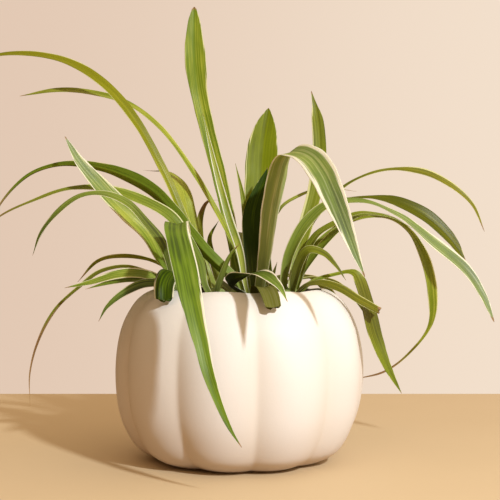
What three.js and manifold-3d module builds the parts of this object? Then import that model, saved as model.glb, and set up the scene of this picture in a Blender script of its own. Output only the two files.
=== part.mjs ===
// A spider plant in a lobed ceramic pot.
//
// Millimetres, +Z up. The origin is the centre of the pot's flat foot. -Y is the front,
// where one leaf hangs down over the rim, and +X is to the right of it.
//
// The pot is a round, ribbed bowl like a pumpkin. It is filled with potting soil, and the
// soil carries five tufts of the plant. Each tuft is a short crown of clasping leaf bases,
// and its leaves leave the crown one by one, rise, and arch over or stand up.

import * as THREE from 'three';
import { mergeVertices } from 'three/addons/utils/BufferGeometryUtils.js';
import Module from 'manifold-3d';

const wasm = await Module();
wasm.setup();

// ---- Driving dimensions ---------------------------------------------------------------

const POT_HEIGHT = 102.5;         // foot to rim
const POT_OUTLINE = [            // [radius, height] of the lobes' crests, foot to rim
  [49, 0], [63.5, 9], [73, 28], [76, 54], [72.5, 78], [63.5, 95], [53.5, POT_HEIGHT],
];
const POT_WALL = 5;
const POT_FLOOR = 7;
const FOOT_EDGE = 3;             // width of the rounded edge round the flat foot
const FOOT_CORNER = [0.8, 0.6];  // height and inset of a point on that edge
const CORNER_HEIGHT = 12;        // inside, where the wall turns in towards the floor
const CORNER_INSET = 1;
const FLOOR_INSET = 12;          // how far inside the wall the flat floor starts

const LOBES = 10;
const LOBE_FULLNESS = 0.375;     // under 0.5 gives broad crests and narrow grooves
const GROOVE_ROUNDING = 0.012;   // rounds the bottom of each groove
const GROOVE_TURN = 8;           // degrees from the front to the nearest groove, rightwards
const GROOVE_DEPTH = 4.6;        // at the widest part of the pot
const GROOVE_DEPTH_RIM = 1.7;
const RIM_WAVE = 1.1;            // how far the rim dips at each groove
const LIP = [                    // [depth below the rim, inset, share of the wave], going in
  [8.5, 0, 0.3], [3.5, 0, 0.7], [1, 0.2, 1], [0, 1.7, 1],
  [0, 3.3, 1], [1.4, POT_WALL, 0.8], [7, POT_WALL, 0.4],
];

const SOIL_TOP = 93;             // at the wall
const SOIL_MOUND = 2.5;          // how much higher the soil lies in the middle
const CLOD_HEIGHT = 0.5;         // how far the soil's top is uneven
const GAP = 0.3;                 // between pieces that touch

const CROWN_RADIUS = 8;
const CROWN_FOOT = 84;           // how deep a crown stands in the soil
const CROWN_TOP = 103;
const CROWN_DOME = 6.4;          // height of its rounded top
const CROWN_BEVEL = 2;           // round its foot

const BLADE = 0.7;               // thickness of a leaf
const LEAF_BASE = 0.42;          // width of a leaf where it leaves the crown, as a share
const LEAF_BROADEST = 0.35;      // where most leaves are widest, as a share of the length
const LEAF_TIP = 0.6;            // width at the point
const POINT_CURVE = 1.8;         // over 1 keeps a leaf wide until close to its point
const CLIPPED_LOSS = 0.2;        // share of its width that a clipped leaf loses by its end
const FOLD_AT_BASE = 0.55;       // rise of the edges over the midrib, per half width
const FOLD_FURTHER_OUT = 0.2;
const FOLD_OPENS_BY = 0.35;      // share of the length

const WELD = 1e-4;               // points closer than this are one point
const OUTLINE_STEPS = 120;
const OUTSIDE_HEIGHTS = [4, 9, 16, 25, 36, 48, 60, 71, 81, 89];
const INSIDE_HEIGHTS = [22, 40, 60, 76, 85, SOIL_TOP - 1];
const SOIL_RINGS = [0.92, 0.74, 0.54, 0.34, 0.14];   // shares of the way out to the wall
const STEPS_PER_LOBE = 6;
const CROWN_SIDES = 14;
const DOME_STEPS = 5;
const STEPS_PER_STRETCH = 2;     // along a leaf, between two points of its route

// ---- Finishes -------------------------------------------------------------------------

const finishes = {
  pot: { color: 0xf1e6d2, roughness: 0.55, metalness: 0 },
  soil: { color: 0x3a2b1e, roughness: 0.95, metalness: 0 },
  crown: { color: 0xc9cf8e, roughness: 0.6, metalness: 0 },
  leaf: { color: 0x6f8f2f, roughness: 0.42, metalness: 0 },
};

// ---- Small tools ----------------------------------------------------------------------

const radians = THREE.MathUtils.degToRad;
const { lerp, smoothstep } = THREE.MathUtils;

function solid(geometry) {
  geometry.deleteAttribute('normal');
  geometry.deleteAttribute('uv');
  const merged = mergeVertices(geometry, WELD);
  return new wasm.Manifold(new wasm.Mesh({
    numProp: 3,
    vertProperties: new Float32Array(merged.attributes.position.array),
    triVerts: new Uint32Array(merged.index.array),
  }));
}

function geometryOf(manifold) {
  const mesh = manifold.getMesh();
  const geometry = new THREE.BufferGeometry();
  geometry.setAttribute('position', new THREE.BufferAttribute(mesh.vertProperties, 3));
  geometry.setIndex(new THREE.BufferAttribute(mesh.triVerts, 1));
  return geometry;
}

function piece(name, geometry, finish) {
  geometry.computeVertexNormals();
  const mesh = new THREE.Mesh(geometry, new THREE.MeshStandardMaterial(finishes[finish]));
  mesh.name = name;
  return mesh;
}

// A closed skin from rings of points: neighbouring rings are joined, and the first and the
// last ring are each closed by a flat fan. Rings run anticlockwise seen along the way they go.
function skin(rings) {
  const around = rings[0].length;
  const positions = rings.flat().flatMap((p) => [p.x, p.y, p.z]);
  const index = [];
  for (let i = 0; i + 1 < rings.length; i += 1) {
    for (let j = 0; j < around; j += 1) {
      const a = i * around + j;
      const b = i * around + ((j + 1) % around);
      index.push(a, b + around, b, a, a + around, b + around);
    }
  }
  const last = (rings.length - 1) * around;
  for (let j = 1; j + 1 < around; j += 1) {
    index.push(0, j, j + 1, last, last + j + 1, last + j);
  }
  const geometry = new THREE.BufferGeometry();
  geometry.setAttribute('position', new THREE.Float32BufferAttribute(positions, 3));
  geometry.setIndex(index);
  return geometry;
}

// ---- The pot --------------------------------------------------------------------------

const outline = new THREE.SplineCurve(POT_OUTLINE.map(([r, z]) => new THREE.Vector2(r, z)));
const outlinePoints = outline.getPoints(OUTLINE_STEPS);

function crestRadius(z) {
  const upper = outlinePoints.findIndex((p) => p.y >= z);
  if (upper <= 0) return (upper === 0 ? outlinePoints[0] : outlinePoints.at(-1)).x;
  const [low, high] = [outlinePoints[upper - 1], outlinePoints[upper]];
  return lerp(low.x, high.x, (z - low.y) / (high.y - low.y));
}

// Near 0 in a groove and 1 on a lobe's crest.
function lobeAt(turn) {
  const wave = Math.sin(radians((turn - GROOVE_TURN) * LOBES / 2)) ** 2;
  return ((wave + GROOVE_ROUNDING) / (1 + GROOVE_ROUNDING)) ** LOBE_FULLNESS;
}

function grooveDepth(z) {
  return lerp(GROOVE_DEPTH, GROOVE_DEPTH_RIM, smoothstep(z, 0.5 * POT_HEIGHT, POT_HEIGHT));
}

// A ring round the pot at a height, a distance inside its outer face. Turns are counted
// from the front towards the right, and the ring runs the other way.
function potRing(z, inset, dip = 0) {
  const steps = LOBES * STEPS_PER_LOBE;
  return Array.from({ length: steps }, (_, k) => {
    const turn = GROOVE_TURN - 360 * k / steps;
    const groove = 1 - lobeAt(turn);
    const r = crestRadius(z) - grooveDepth(z) * groove - inset;
    return new THREE.Vector3(
      r * Math.sin(radians(turn)), -r * Math.cos(radians(turn)), z - dip * groove);
  });
}

function makePot() {
  const rings = [
    potRing(0, FOOT_EDGE),
    potRing(...FOOT_CORNER),
    ...OUTSIDE_HEIGHTS.map((z) => potRing(z, 0)),
    ...LIP.map(([below, inset, wave]) => potRing(POT_HEIGHT - below, inset, wave * RIM_WAVE)),
    ...INSIDE_HEIGHTS.toReversed().map((z) => potRing(z, POT_WALL)),
    potRing(CORNER_HEIGHT, POT_WALL + CORNER_INSET),
    potRing(POT_FLOOR, POT_WALL + FLOOR_INSET),
  ];
  return piece('pot', skin(rings), 'pot');
}

// ---- The crowns -----------------------------------------------------------------------
//
// A crown is a short stub with a rounded top, standing in the soil. The soil and the leaves
// are cut clear of it.

const tufts = {                  // [x, y] of each crown
  left: [-34, -9],
  innerLeft: [-15, 6],
  middle: [8, 3],
  right: [31, 1],
  back: [0, 27],
};

function crownSolid([x, y], grow = 0) {
  const outer = CROWN_RADIUS + grow;
  const shoulder = CROWN_TOP - CROWN_DOME;
  const profile = [
    new THREE.Vector2(0, CROWN_FOOT - grow),
    new THREE.Vector2(outer - CROWN_BEVEL, CROWN_FOOT - grow),
    new THREE.Vector2(outer, CROWN_FOOT + CROWN_BEVEL),
  ];
  for (let k = 0; k < DOME_STEPS; k += 1) {
    const lift = radians(90 * k / DOME_STEPS);
    profile.push(new THREE.Vector2(
      outer * Math.cos(lift), shoulder + (CROWN_DOME + grow) * Math.sin(lift)));
  }
  profile.push(new THREE.Vector2(0, CROWN_TOP + grow));
  const geometry = new THREE.LatheGeometry(profile, CROWN_SIDES);
  geometry.rotateX(Math.PI / 2);
  geometry.translate(x, y, 0);
  return solid(geometry);
}

function crownName(tuft) {
  return `crown_${tuft.replace(/[A-Z]/g, (letter) => `_${letter.toLowerCase()}`)}`;
}

// ---- The soil -------------------------------------------------------------------------

// The soil fills the pot's inside, and its top rises a little towards the middle, with the
// uneven surface of small clods.
function makeSoil() {
  const inner = POT_WALL + GAP;
  const rings = [
    potRing(POT_FLOOR + GAP, inner + FLOOR_INSET + 2 * GAP),
    potRing(CORNER_HEIGHT + GAP, inner + CORNER_INSET),
    ...INSIDE_HEIGHTS.map((z) => potRing(z, inner)),
  ];
  for (const share of SOIL_RINGS) {
    rings.push(potRing(SOIL_TOP, inner).map((p, k) => {
      const clod = Math.sin(k * 1.9 + share * 23) * Math.cos(k * 0.7 - share * 31);
      const mound = SOIL_MOUND * (1 - share * share);
      return new THREE.Vector3(
        p.x * share, p.y * share, SOIL_TOP + mound + CLOD_HEIGHT * clod);
    }));
  }
  let soil = solid(skin(rings));
  for (const place of Object.values(tufts)) soil = soil.subtract(crownSolid(place, GAP));
  return piece('soil', geometryOf(soil), 'soil');
}

// ---- The leaves -----------------------------------------------------------------------
//
// Each leaf is a thin strap, folded a little along its midrib. Its route is the midrib's,
// [x, y, z] from inside the crown to the tip. width is the most that it reaches. heading is
// the way the leaf faces when it arches over, in degrees from +X, worked out from the route
// where it isn't given. roll turns the blade about its midrib, in degrees, at even places
// along it. broadest is the share of its length where it is widest. A leaf of another
// outline has widths instead, pairs of [share of the length, share of the width], with its
// point after the last pair. A clipped leaf ends square instead of in a point.

const leaves = {
  left: [
    { name: 'leaf_pointing_up_left', width: 12, heading: 180, roll: [-30, -60, -65],
      widths: [[0, 0.42], [0.25, 0.85], [0.45, 1], [0.66, 0.92], [0.85, 0.56], [0.95, 0.24]],
      route: [[-35, -8, 98], [-39.5, -9, 109], [-47, -12, 120.5], [-55, -14, 135.5],
        [-65, -15, 146], [-75, -17, 156], [-86, -19, 168], [-95, -20, 179],
        [-103, -21, 193]] },
    { name: 'leaf_arch_front_left', width: 9, heading: 180, roll: [-35, -35, -30],
      widths: [[0, 0.45], [0.3, 0.9], [0.5, 0.75], [0.62, 0.6], [0.8, 0.78], [0.9, 0.58]],
      route: [[-37, -12, 97], [-40, -19, 107], [-42, -25, 119], [-46, -29, 131],
        [-54, -31, 141.5], [-65, -32, 153], [-79, -33, 158.6], [-92, -33, 157],
        [-104, -34, 148.4], [-114.3, -35, 135.5], [-119, -36, 122.8]] },
    { name: 'leaf_hanging_over_front', width: 13.5, heading: -82, roll: [0],
      widths: [[0, 0.42], [0.2, 0.85], [0.35, 1], [0.56, 1], [0.68, 0.7], [0.86, 0.36],
        [0.95, 0.16]],
      route: [[-33, -11, 98], [-32, -15, 108], [-33, -20, 121], [-34, -30, 134],
        [-35, -46, 141], [-34, -66, 136], [-30, -82, 123], [-26, -93, 108],
        [-22.5, -100, 94], [-18.3, -106, 78], [-15, -110, 65], [-9.3, -113, 49],
        [-3.7, -115, 37], [2, -116, 28]] },
    { name: 'leaf_clipped_over_rim', width: 13, heading: -95, roll: [0], broadest: 0.6,
      clipped: true,
      route: [[-30, -15, 98], [-30, -26, 108], [-35, -33, 113], [-39, -39, 113],
        [-42, -46, 107], [-42, -50, 98]] },
    { name: 'leaf_low_left_back', width: 7, roll: [25],
      route: [[-35, -5, 98], [-39, 2, 108], [-46, 6, 115], [-57, 9, 120], [-74, 13, 122],
        [-89, 15, 119], [-102, 17, 106]] },
    { name: 'leaf_trailing_left', width: 5, roll: [25], broadest: 0.25,
      route: [[-39, -9, 97], [-45, -8, 104], [-50, -7, 109], [-58, -6, 113],
        [-70, -7, 116], [-84, -9, 113], [-96, -10, 104], [-110, -12, 91],
        [-120, -14, 72], [-125, -15, 53], [-125, -15, 33]] },
    { name: 'leaf_low_left_light', width: 10, roll: [-35],
      route: [[-38, -11, 96], [-44, -16, 104], [-50, -19, 109], [-57, -21, 111.5],
        [-71, -23, 111.5], [-87, -26, 107], [-102, -28, 104]] },
    { name: 'leaf_low_left_dark', width: 8, roll: [-35],
      route: [[-38, -5, 97], [-45, 1, 104], [-52, 3, 107], [-65, 4, 108], [-80, 4, 106],
        [-95, 3, 102]] },
    { name: 'leaf_low_left_curl', width: 7.5, roll: [-40],
      route: [[-33, -14, 96], [-37, -26, 103.6], [-45, -33, 106.6], [-56, -35, 106],
        [-67, -36, 101], [-76, -36, 93.5], [-81, -36, 85]] },
  ],
  innerLeft: [
    { name: 'leaf_high_arch_left', width: 7, heading: 180, roll: [-45, -60, -60, -50, -40],
      widths: [[0, 0.55], [0.2, 0.76], [0.4, 0.84], [0.5, 0.95], [0.6, 1], [0.76, 0.78],
        [0.88, 0.52], [0.96, 0.28]],
      route: [[-18, 7, 99], [-22, 7, 112], [-26, 8, 127], [-34, 9, 144], [-46.6, 12, 173],
        [-64, 16, 204.6], [-83, 20, 228], [-109, 25, 245.4], [-141, 29, 251.6],
        [-166, 32, 248.6], [-184, 34, 239]] },
    { name: 'leaf_wide_arch_back', width: 12.5, roll: [0],
      widths: [[0, 0.42], [0.25, 0.85], [0.42, 1], [0.62, 0.85], [0.76, 0.4], [0.9, 0.18]],
      route: [[-16, 11, 99], [-21, 17, 110], [-26, 19, 123], [-31.5, 22, 141],
        [-37, 27, 164], [-44, 38, 174], [-51, 50, 178], [-58, 60, 179], [-66, 66, 180]] },
    { name: 'leaf_arch_left_lower', width: 10, heading: 180, roll: [-44, -40, -28],
      widths: [[0, 0.42], [0.3, 1], [0.48, 0.9], [0.6, 0.5], [0.8, 0.34], [0.95, 0.2]],
      route: [[-18, 1, 97], [-22, -4, 105], [-25, -5, 119], [-33, -6, 133.5],
        [-43, -6, 147], [-62, -6, 157], [-81, -7, 163], [-102, -9, 163],
        [-124, -12, 155.5], [-143, -15, 146], [-155, -18, 134]] },
    { name: 'leaf_short_dry_tip', width: 7, heading: 90, roll: [0],
      route: [[-17, 12, 97], [-21, 25, 108], [-26, 34, 127], [-26, 36, 147],
        [-21, 37, 157.5], [-14, 38, 158.5]] },
    { name: 'leaf_young_back', width: 5, heading: 90, roll: [0],
      route: [[-12, 12, 98], [-14, 20, 108], [-18, 26, 122], [-19.5, 27, 134],
        [-14, 27, 144.5]] },
    { name: 'leaf_young_front', width: 4.5, heading: -60, roll: [0],
      route: [[-14, 1, 97], [-13, -4, 104], [-10, -9, 113], [-5, -12, 124],
        [0, -13, 130]] },
  ],
  middle: [
    { name: 'leaf_arch_left_upper', width: 10.5, heading: 180, roll: [75, 62, 35, 28],
      widths: [[0, 0.5], [0.08, 0.7], [0.2, 0.82], [0.4, 0.9], [0.5, 0.95], [0.65, 0.5],
        [0.78, 0.28], [0.92, 0.16]],
      route: [[2, 0, 98], [-3, -2, 107], [-11, -2, 115], [-20.4, -1, 124], [-32, 0, 138],
        [-41, 1, 149.5], [-53, 1, 162], [-68, 0, 170.5], [-88, -1, 177], [-109, -3, 178],
        [-127, -5, 172], [-142, -8, 157], [-152, -11, 138]] },
    { name: 'leaf_thin_arch_left', width: 5.6, heading: 180, roll: [-40, -60, -50, -45, -45],
      widths: [[0, 0.5], [0.3, 0.7], [0.55, 0.65], [0.7, 0.85], [0.84, 1], [0.94, 0.6]],
      route: [[3, 2, 99], [1, 4, 112], [-2.6, 7, 126], [-13, 13, 147], [-28, 19, 173],
        [-51, 27, 204], [-72, 32, 220], [-93, 36, 227], [-118, 41, 230],
        [-145, 46, 227]] },
    { name: 'leaf_tall_upright', width: 13.5, heading: 90, roll: [0],
      widths: [[0, 0.4], [0.25, 0.6], [0.5, 0.66], [0.63, 0.72], [0.72, 0.78], [0.77, 0.98],
        [0.83, 1], [0.87, 0.9], [0.92, 0.7], [0.96, 0.52], [0.985, 0.36]],
      route: [[4, 7, 99], [0, 12, 110], [-6, 16, 140], [-13, 17, 172], [-20.8, 17, 202],
        [-26, 18, 226], [-28.6, 18, 252], [-29, 19, 279]] },
    { name: 'leaf_narrow_upright', width: 5, heading: 90, roll: [0],
      route: [[5, -1, 98], [3, -4, 107], [0, -4, 125], [-7, -2, 147], [-15, 3, 176],
        [-23, 7, 210]] },
    { name: 'leaf_broad_upright', width: 21, heading: 90, roll: [0],
      widths: [[0, 0.28], [0.3, 0.66], [0.55, 0.98], [0.66, 1], [0.76, 0.95], [0.85, 0.8],
        [0.92, 0.55], [0.97, 0.26]],
      route: [[9, 8, 98], [9, 14, 110], [11, 20, 139], [13, 25, 166], [14, 28, 190],
        [18, 31, 217]] },
    { name: 'leaf_slim_upright', width: 5, heading: 90, roll: [0],
      route: [[6, 4, 99], [5, 6, 110], [4.5, 9, 132], [2, 12, 157], [-3, 14, 180]] },
    { name: 'leaf_dark_upright', width: 13, heading: 90, roll: [0], broadest: 0.5,
      route: [[10, 2, 98], [10, 0, 108], [8, 2, 132], [8, 5, 149], [17, 8, 177]] },
    { name: 'leaf_great_arch', width: 17, heading: -58,
      roll: [0, 0, 0, 5, 30, 45, 46, 36, 24],
      widths: [[0, 0.4], [0.2, 0.66], [0.36, 0.9], [0.44, 0.84], [0.53, 0.8], [0.64, 0.94],
        [0.76, 0.78], [0.9, 0.38], [0.96, 0.18]],
      route: [[12, -3, 98], [15.5, -9, 119], [18.5, -14, 147], [22.6, -19, 168],
        [25, -23, 177.5], [28, -29, 182.3], [33.4, -39, 182], [40.2, -51, 177.5],
        [46.3, -61, 168], [51.4, -71, 154.5], [56, -79, 141], [61, -85, 126],
        [66, -90, 112]] },
    { name: 'leaf_young_middle', width: 4, heading: -60, roll: [0],
      route: [[12.5, -2, 96], [18, -12, 103], [20, -18, 112], [22, -23, 119]] },
    { name: 'leaf_clipped_at_front', width: 11.5, heading: -75, roll: [0], broadest: 0.6,
      clipped: true,
      route: [[9, -4, 97], [10, -16, 100], [12, -32, 103.5], [13, -45, 105],
        [15, -54, 104.5], [17, -61, 100.5], [18.7, -66.5, 94.5]] },
    { name: 'leaf_over_front_rim', width: 9.5, heading: -66,
      roll: [-40, -40, -40, -30, -2, 12, 18, 14, 10], broadest: 0.6,
      route: [[4, -3, 98], [-2, -11, 102], [-6, -23, 106], [-3, -40, 110], [5, -58, 113],
        [13, -75, 113], [18, -90, 110], [22, -100, 106], [25, -107, 100]] },
  ],
  right: [
    { name: 'leaf_upright_right', width: 9, heading: 90, roll: [0],
      widths: [[0, 0.42], [0.35, 1], [0.6, 1], [0.8, 0.92], [0.88, 0.8], [0.93, 0.3],
        [0.97, 0.2]],
      route: [[31, 4, 99], [33, 9, 111], [37, 14, 127], [42, 18, 145], [47, 21, 164],
        [50, 23, 186], [49.5, 24, 202], [48, 24, 213], [45, 25, 227]] },
    { name: 'leaf_long_arch_right', width: 9.5, heading: 0, roll: [50, 60, 35, 55, 70],
      widths: [[0, 0.45], [0.1, 0.72], [0.2, 0.9], [0.3, 0.76], [0.42, 0.45], [0.54, 0.45],
        [0.62, 0.75], [0.7, 1], [0.78, 0.95], [0.88, 0.68], [0.96, 0.4]],
      route: [[28, 0, 98], [27.5, 1, 108], [31.5, 4, 125], [41, 8, 142.5], [55, 10, 154.5],
        [78, 10, 156], [98.5, 6, 147], [120, 0, 129], [136.5, -5, 114.5], [146, -9, 99],
        [152, -13, 83]] },
    { name: 'leaf_arch_right_back', width: 10, heading: 0, roll: [35, 20, 10],
      route: [[33, 4, 97], [37, 9, 108], [46, 14, 122], [62, 20, 139], [77, 24, 148],
        [95, 27, 147], [112, 29, 139]] },
    { name: 'leaf_hanging_loop_right', width: 8.2, heading: 0, roll: [50, 45, 60, 80, 80],
      widths: [[0, 0.5], [0.15, 0.8], [0.3, 0.45], [0.44, 0.36], [0.49, 0.68], [0.55, 0.97],
        [0.62, 1], [0.68, 0.82], [0.72, 0.46], [0.76, 0.22], [0.95, 0.16]],
      route: [[33, 5, 96], [37.5, 14, 108], [48.5, 24, 128.5], [71, 34, 145],
        [95, 40, 147.5], [109.5, 43, 139], [120, 45, 121.5], [125.5, 47, 100],
        [125, 50, 77], [112, 54, 58], [96, 58, 45], [76, 63, 39]] },
    { name: 'leaf_thin_arch_right', width: 6.4, heading: 0, roll: [20, 40, 50, 55],
      widths: [[0, 0.5], [0.3, 0.55], [0.5, 0.36], [0.62, 0.4], [0.68, 0.85], [0.75, 1],
        [0.82, 0.8], [0.9, 0.52], [0.96, 0.3]],
      route: [[30, 6, 97], [33, 16, 110], [43, 28, 137], [55, 38, 156], [73, 45, 171],
        [94, 48, 178.6], [117, 48, 178], [135, 46, 170.3], [151, 43, 156],
        [158.5, 40, 138]] },
    { name: 'leaf_slim_arch_right', width: 5, heading: 0, roll: [30],
      route: [[25, 3, 99], [20, 11, 110], [19, 22, 135], [26, 28, 153], [38, 32, 161],
        [54, 35, 166], [75, 37, 164]] },
    { name: 'leaf_dark_arch_right', width: 10.5, heading: 0, roll: [50, 40, 30, 60, 66],
      widths: [[0, 0.4], [0.15, 0.6], [0.3, 0.5], [0.45, 0.26], [0.56, 0.34], [0.66, 0.84],
        [0.8, 1], [0.91, 0.74], [0.97, 0.35]],
      route: [[29, 5, 98], [28, 12, 108], [34, 19, 126], [45, 24, 143], [57, 28, 155],
        [76, 29, 159.5], [95, 27, 158], [117, 24, 148], [132, 22, 134], [142, 20, 119]] },
    { name: 'leaf_low_arch_right', width: 7, heading: 0, roll: [40, 30],
      route: [[34, 1, 98], [37, 0, 109], [40, 2, 122], [47, 4, 135], [59, 5, 143],
        [74, 6, 149], [92, 6, 148]] },
    { name: 'leaf_short_arch_right', width: 7, heading: 0, roll: [50],
      route: [[32, -2, 98], [33, -8, 108], [36, -12, 119], [41, -14, 126],
        [50, -15, 124], [57, -17, 117], [63, -19, 108]] },
    { name: 'leaf_kinked_right', width: 11, heading: 0, roll: [40, 50, 70],
      widths: [[0, 0.4], [0.15, 0.3], [0.3, 0.26], [0.34, 0.34], [0.38, 0.88], [0.5, 1],
        [0.62, 1], [0.74, 0.8], [0.86, 0.46], [0.94, 0.22]],
      route: [[34, -2, 96], [41, -6, 104.5], [49, -8, 109], [58, -9, 111.5], [65, -10, 113],
        [69, -11, 112], [71, -12, 108.5], [75.6, -13, 94], [80.4, -15, 75],
        [87.4, -17, 57], [96, -18, 41]] },
    { name: 'leaf_clipped_right', width: 8.6, heading: -20, roll: [25], broadest: 0.7,
      clipped: true,
      route: [[32, -4, 95], [35, -12, 100.5], [40, -18, 105], [48, -21, 106.5],
        [59, -22, 103], [70, -22, 96.5], [82, -21, 90]] },
  ],
  back: [
    { name: 'leaf_back_behind_tall', width: 8, heading: 90, roll: [0], broadest: 0.6,
      route: [[-1, 25, 98], [-1, 28, 110], [-6, 32, 140], [-14, 38, 172], [-20, 46, 198],
        [-24, 56, 216]] },
    { name: 'leaf_back_arch_high', width: 13, roll: [0],
      route: [[2, 27, 98], [6, 33, 112], [11, 42, 140], [15, 54, 172], [18, 74, 190],
        [20, 98, 186], [20, 115, 168], [19, 126, 144]] },
    { name: 'leaf_back_arch_right', width: 12, roll: [5],
      route: [[3, 29, 97], [8, 40, 112], [11, 56, 136], [14, 80, 150], [16, 108, 147],
        [17, 134, 124], [20, 150, 94]] },
    { name: 'leaf_back_arch_left', width: 11, roll: [-5],
      route: [[-2, 30, 98], [-3, 41, 111], [-1, 58, 130], [3, 82, 138],
        [6, 110, 127], [3, 132, 100], [-3, 144, 72]] },
    { name: 'leaf_back_droop_left', width: 11, roll: [0],
      route: [[-4, 30, 96], [-14, 43, 104], [-28, 57, 108], [-46, 76, 105],
        [-60, 92, 88], [-70, 102, 64], [-74, 106, 42]] },
    { name: 'leaf_back_droop_middle', width: 12, roll: [0],
      route: [[2, 32, 96], [3, 45, 105], [5, 62, 110], [5, 84, 104], [4, 100, 84],
        [2, 108, 56], [0, 110, 34]] },
    { name: 'leaf_back_droop_right', width: 11, roll: [0],
      route: [[6, 30, 97], [19, 41, 104], [33, 55, 109], [50, 72, 106], [66, 90, 89],
        [78, 104, 64], [84, 112, 40]] },
    { name: 'leaf_back_low_left', width: 9, roll: [0],
      route: [[-7, 25, 96], [-15, 28, 101], [-27, 34, 104], [-40, 41, 104], [-52, 49, 99],
        [-60, 56, 89], [-64, 61, 76]] },
    { name: 'leaf_back_low_right', width: 9, roll: [0],
      route: [[7, 23, 97], [24, 29, 103], [43, 40, 108], [60, 49, 106], [76, 58, 93],
        [88, 64, 76]] },
  ],
};

function headingOf(route) {
  const [start, end] = [route[0], route.at(-1)];
  return THREE.MathUtils.radToDeg(Math.atan2(end[1] - start[1], end[0] - start[0]));
}

// The value at a share of the length, from values at even places along it.
function alongList(list, share) {
  const place = share * (list.length - 1);
  const k = Math.min(Math.floor(place), list.length - 2);
  return list.length === 1 ? list[0] : lerp(list[k], list[k + 1], place - k);
}

// The same from pairs of [share, value], which fall to 0 at the end.
function alongPairs(pairs, share) {
  const all = [...pairs, [1, 0]];
  const upper = Math.max(all.findIndex(([place]) => place >= share), 1);
  const [low, high] = [all[upper - 1], all[upper]];
  return lerp(low[1], high[1], (share - low[0]) / (high[0] - low[0]));
}

// The width rises from the base to its broadest place, then falls away to the point.
function widthAt(leaf, share) {
  const broadest = leaf.broadest ?? LEAF_BROADEST;
  const out = (share - broadest) / (1 - broadest);
  let part = 1 - (leaf.clipped ? CLIPPED_LOSS : 1) * Math.max(out, 0) ** POINT_CURVE;
  if (share < broadest) part = lerp(LEAF_BASE, 1, Math.sin(0.5 * Math.PI * share / broadest));
  if (leaf.widths) part = alongPairs(leaf.widths, share);
  return Math.max(leaf.width * part, LEAF_TIP);
}

// The midrib runs along the smooth curve through the route's points. side points across the
// blade, level before it is rolled, and up is the way that the blade's upper face looks.
function leafSolid(leaf) {
  const curve = new THREE.CatmullRomCurve3(
    leaf.route.map((p) => new THREE.Vector3(...p)), false, 'centripetal');
  const steps = (leaf.route.length - 1) * STEPS_PER_STRETCH;
  const points = curve.getPoints(steps);
  const run = [0];
  for (let k = 1; k <= steps; k += 1) {
    run.push(run[k - 1] + points[k].distanceTo(points[k - 1]));
  }
  const across = radians((leaf.heading ?? headingOf(leaf.route)) + 90);
  const level = new THREE.Vector3(Math.cos(across), Math.sin(across), 0);

  const rings = points.map((point, k) => {
    const share = run[k] / run[steps];
    const tangent = curve.getTangent(k / steps);
    const side = level.clone().addScaledVector(tangent, -level.dot(tangent)).normalize();
    side.applyAxisAngle(tangent, radians(alongList(leaf.roll, share)));
    const up = tangent.clone().cross(side);
    const half = widthAt(leaf, share) / 2;
    const opened = smoothstep(share, 0, FOLD_OPENS_BY);
    const fold = half * lerp(FOLD_AT_BASE, FOLD_FURTHER_OUT, opened);
    const at = (u, v) => point.clone().addScaledVector(side, u).addScaledVector(up, v);
    return [
      at(-half, fold), at(0, 0), at(half, fold),
      at(half, fold - BLADE), at(0, -BLADE), at(-half, fold - BLADE),
    ];
  });
  return solid(skin(rings));
}

// ---- The plant in its pot -------------------------------------------------------------

const plant = new THREE.Group();
plant.add(makePot(), makeSoil());
for (const [tuft, place] of Object.entries(tufts)) {
  plant.add(piece(crownName(tuft), geometryOf(crownSolid(place)), 'crown'));
  const cleared = crownSolid(place, GAP);
  for (const leaf of leaves[tuft]) {
    plant.add(piece(leaf.name, geometryOf(leafSolid(leaf).subtract(cleared)), 'leaf'));
  }
}

export default plant;
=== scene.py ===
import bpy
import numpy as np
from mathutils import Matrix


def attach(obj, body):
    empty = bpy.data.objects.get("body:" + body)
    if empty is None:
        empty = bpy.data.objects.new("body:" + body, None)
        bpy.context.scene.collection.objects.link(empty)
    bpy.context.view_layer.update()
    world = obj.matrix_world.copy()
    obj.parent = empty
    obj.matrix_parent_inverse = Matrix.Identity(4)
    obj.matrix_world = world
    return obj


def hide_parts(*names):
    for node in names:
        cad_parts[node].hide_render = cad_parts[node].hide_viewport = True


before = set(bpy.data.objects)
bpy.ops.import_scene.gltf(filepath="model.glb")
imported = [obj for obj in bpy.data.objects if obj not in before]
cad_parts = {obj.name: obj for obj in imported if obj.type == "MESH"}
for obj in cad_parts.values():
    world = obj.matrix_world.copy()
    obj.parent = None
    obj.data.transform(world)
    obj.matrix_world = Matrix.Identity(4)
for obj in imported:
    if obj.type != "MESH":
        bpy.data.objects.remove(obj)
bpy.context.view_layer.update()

# A spider plant in a lobed ceramic pot. Shapes are worked out in millimetres, in the frame's
# axes: +Z is up, -Y is the front, and the origin is the centre of the pot's foot.

# ---- The camera ------------------------------------------------------------------------
# It looks level along +Y from 0.62 m in front of the pot's middle, a little above its rim.

MM = 0.001
CAMERA_PLACE = (6.1, -620, 126)
CAMERA_LENS = 73.15
SENSOR_WIDTH = 36

camera_data = bpy.data.cameras.new("camera")
camera_data.lens = CAMERA_LENS
camera_data.sensor_width = SENSOR_WIDTH
camera = bpy.data.objects.new("camera", camera_data)
camera.location = np.array(CAMERA_PLACE) * MM
camera.rotation_euler = (np.pi / 2, 0, 0)
bpy.context.scene.collection.objects.link(camera)
bpy.context.scene.camera = camera


# ---- The floor and the light -----------------------------------------------------------
# A plain pale floor, and a backdrop painted darker on the left as painted shade. One small bright
# lamp high on the right in front throws the shadows, and a soft warm glow from all round fills
# them.

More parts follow.
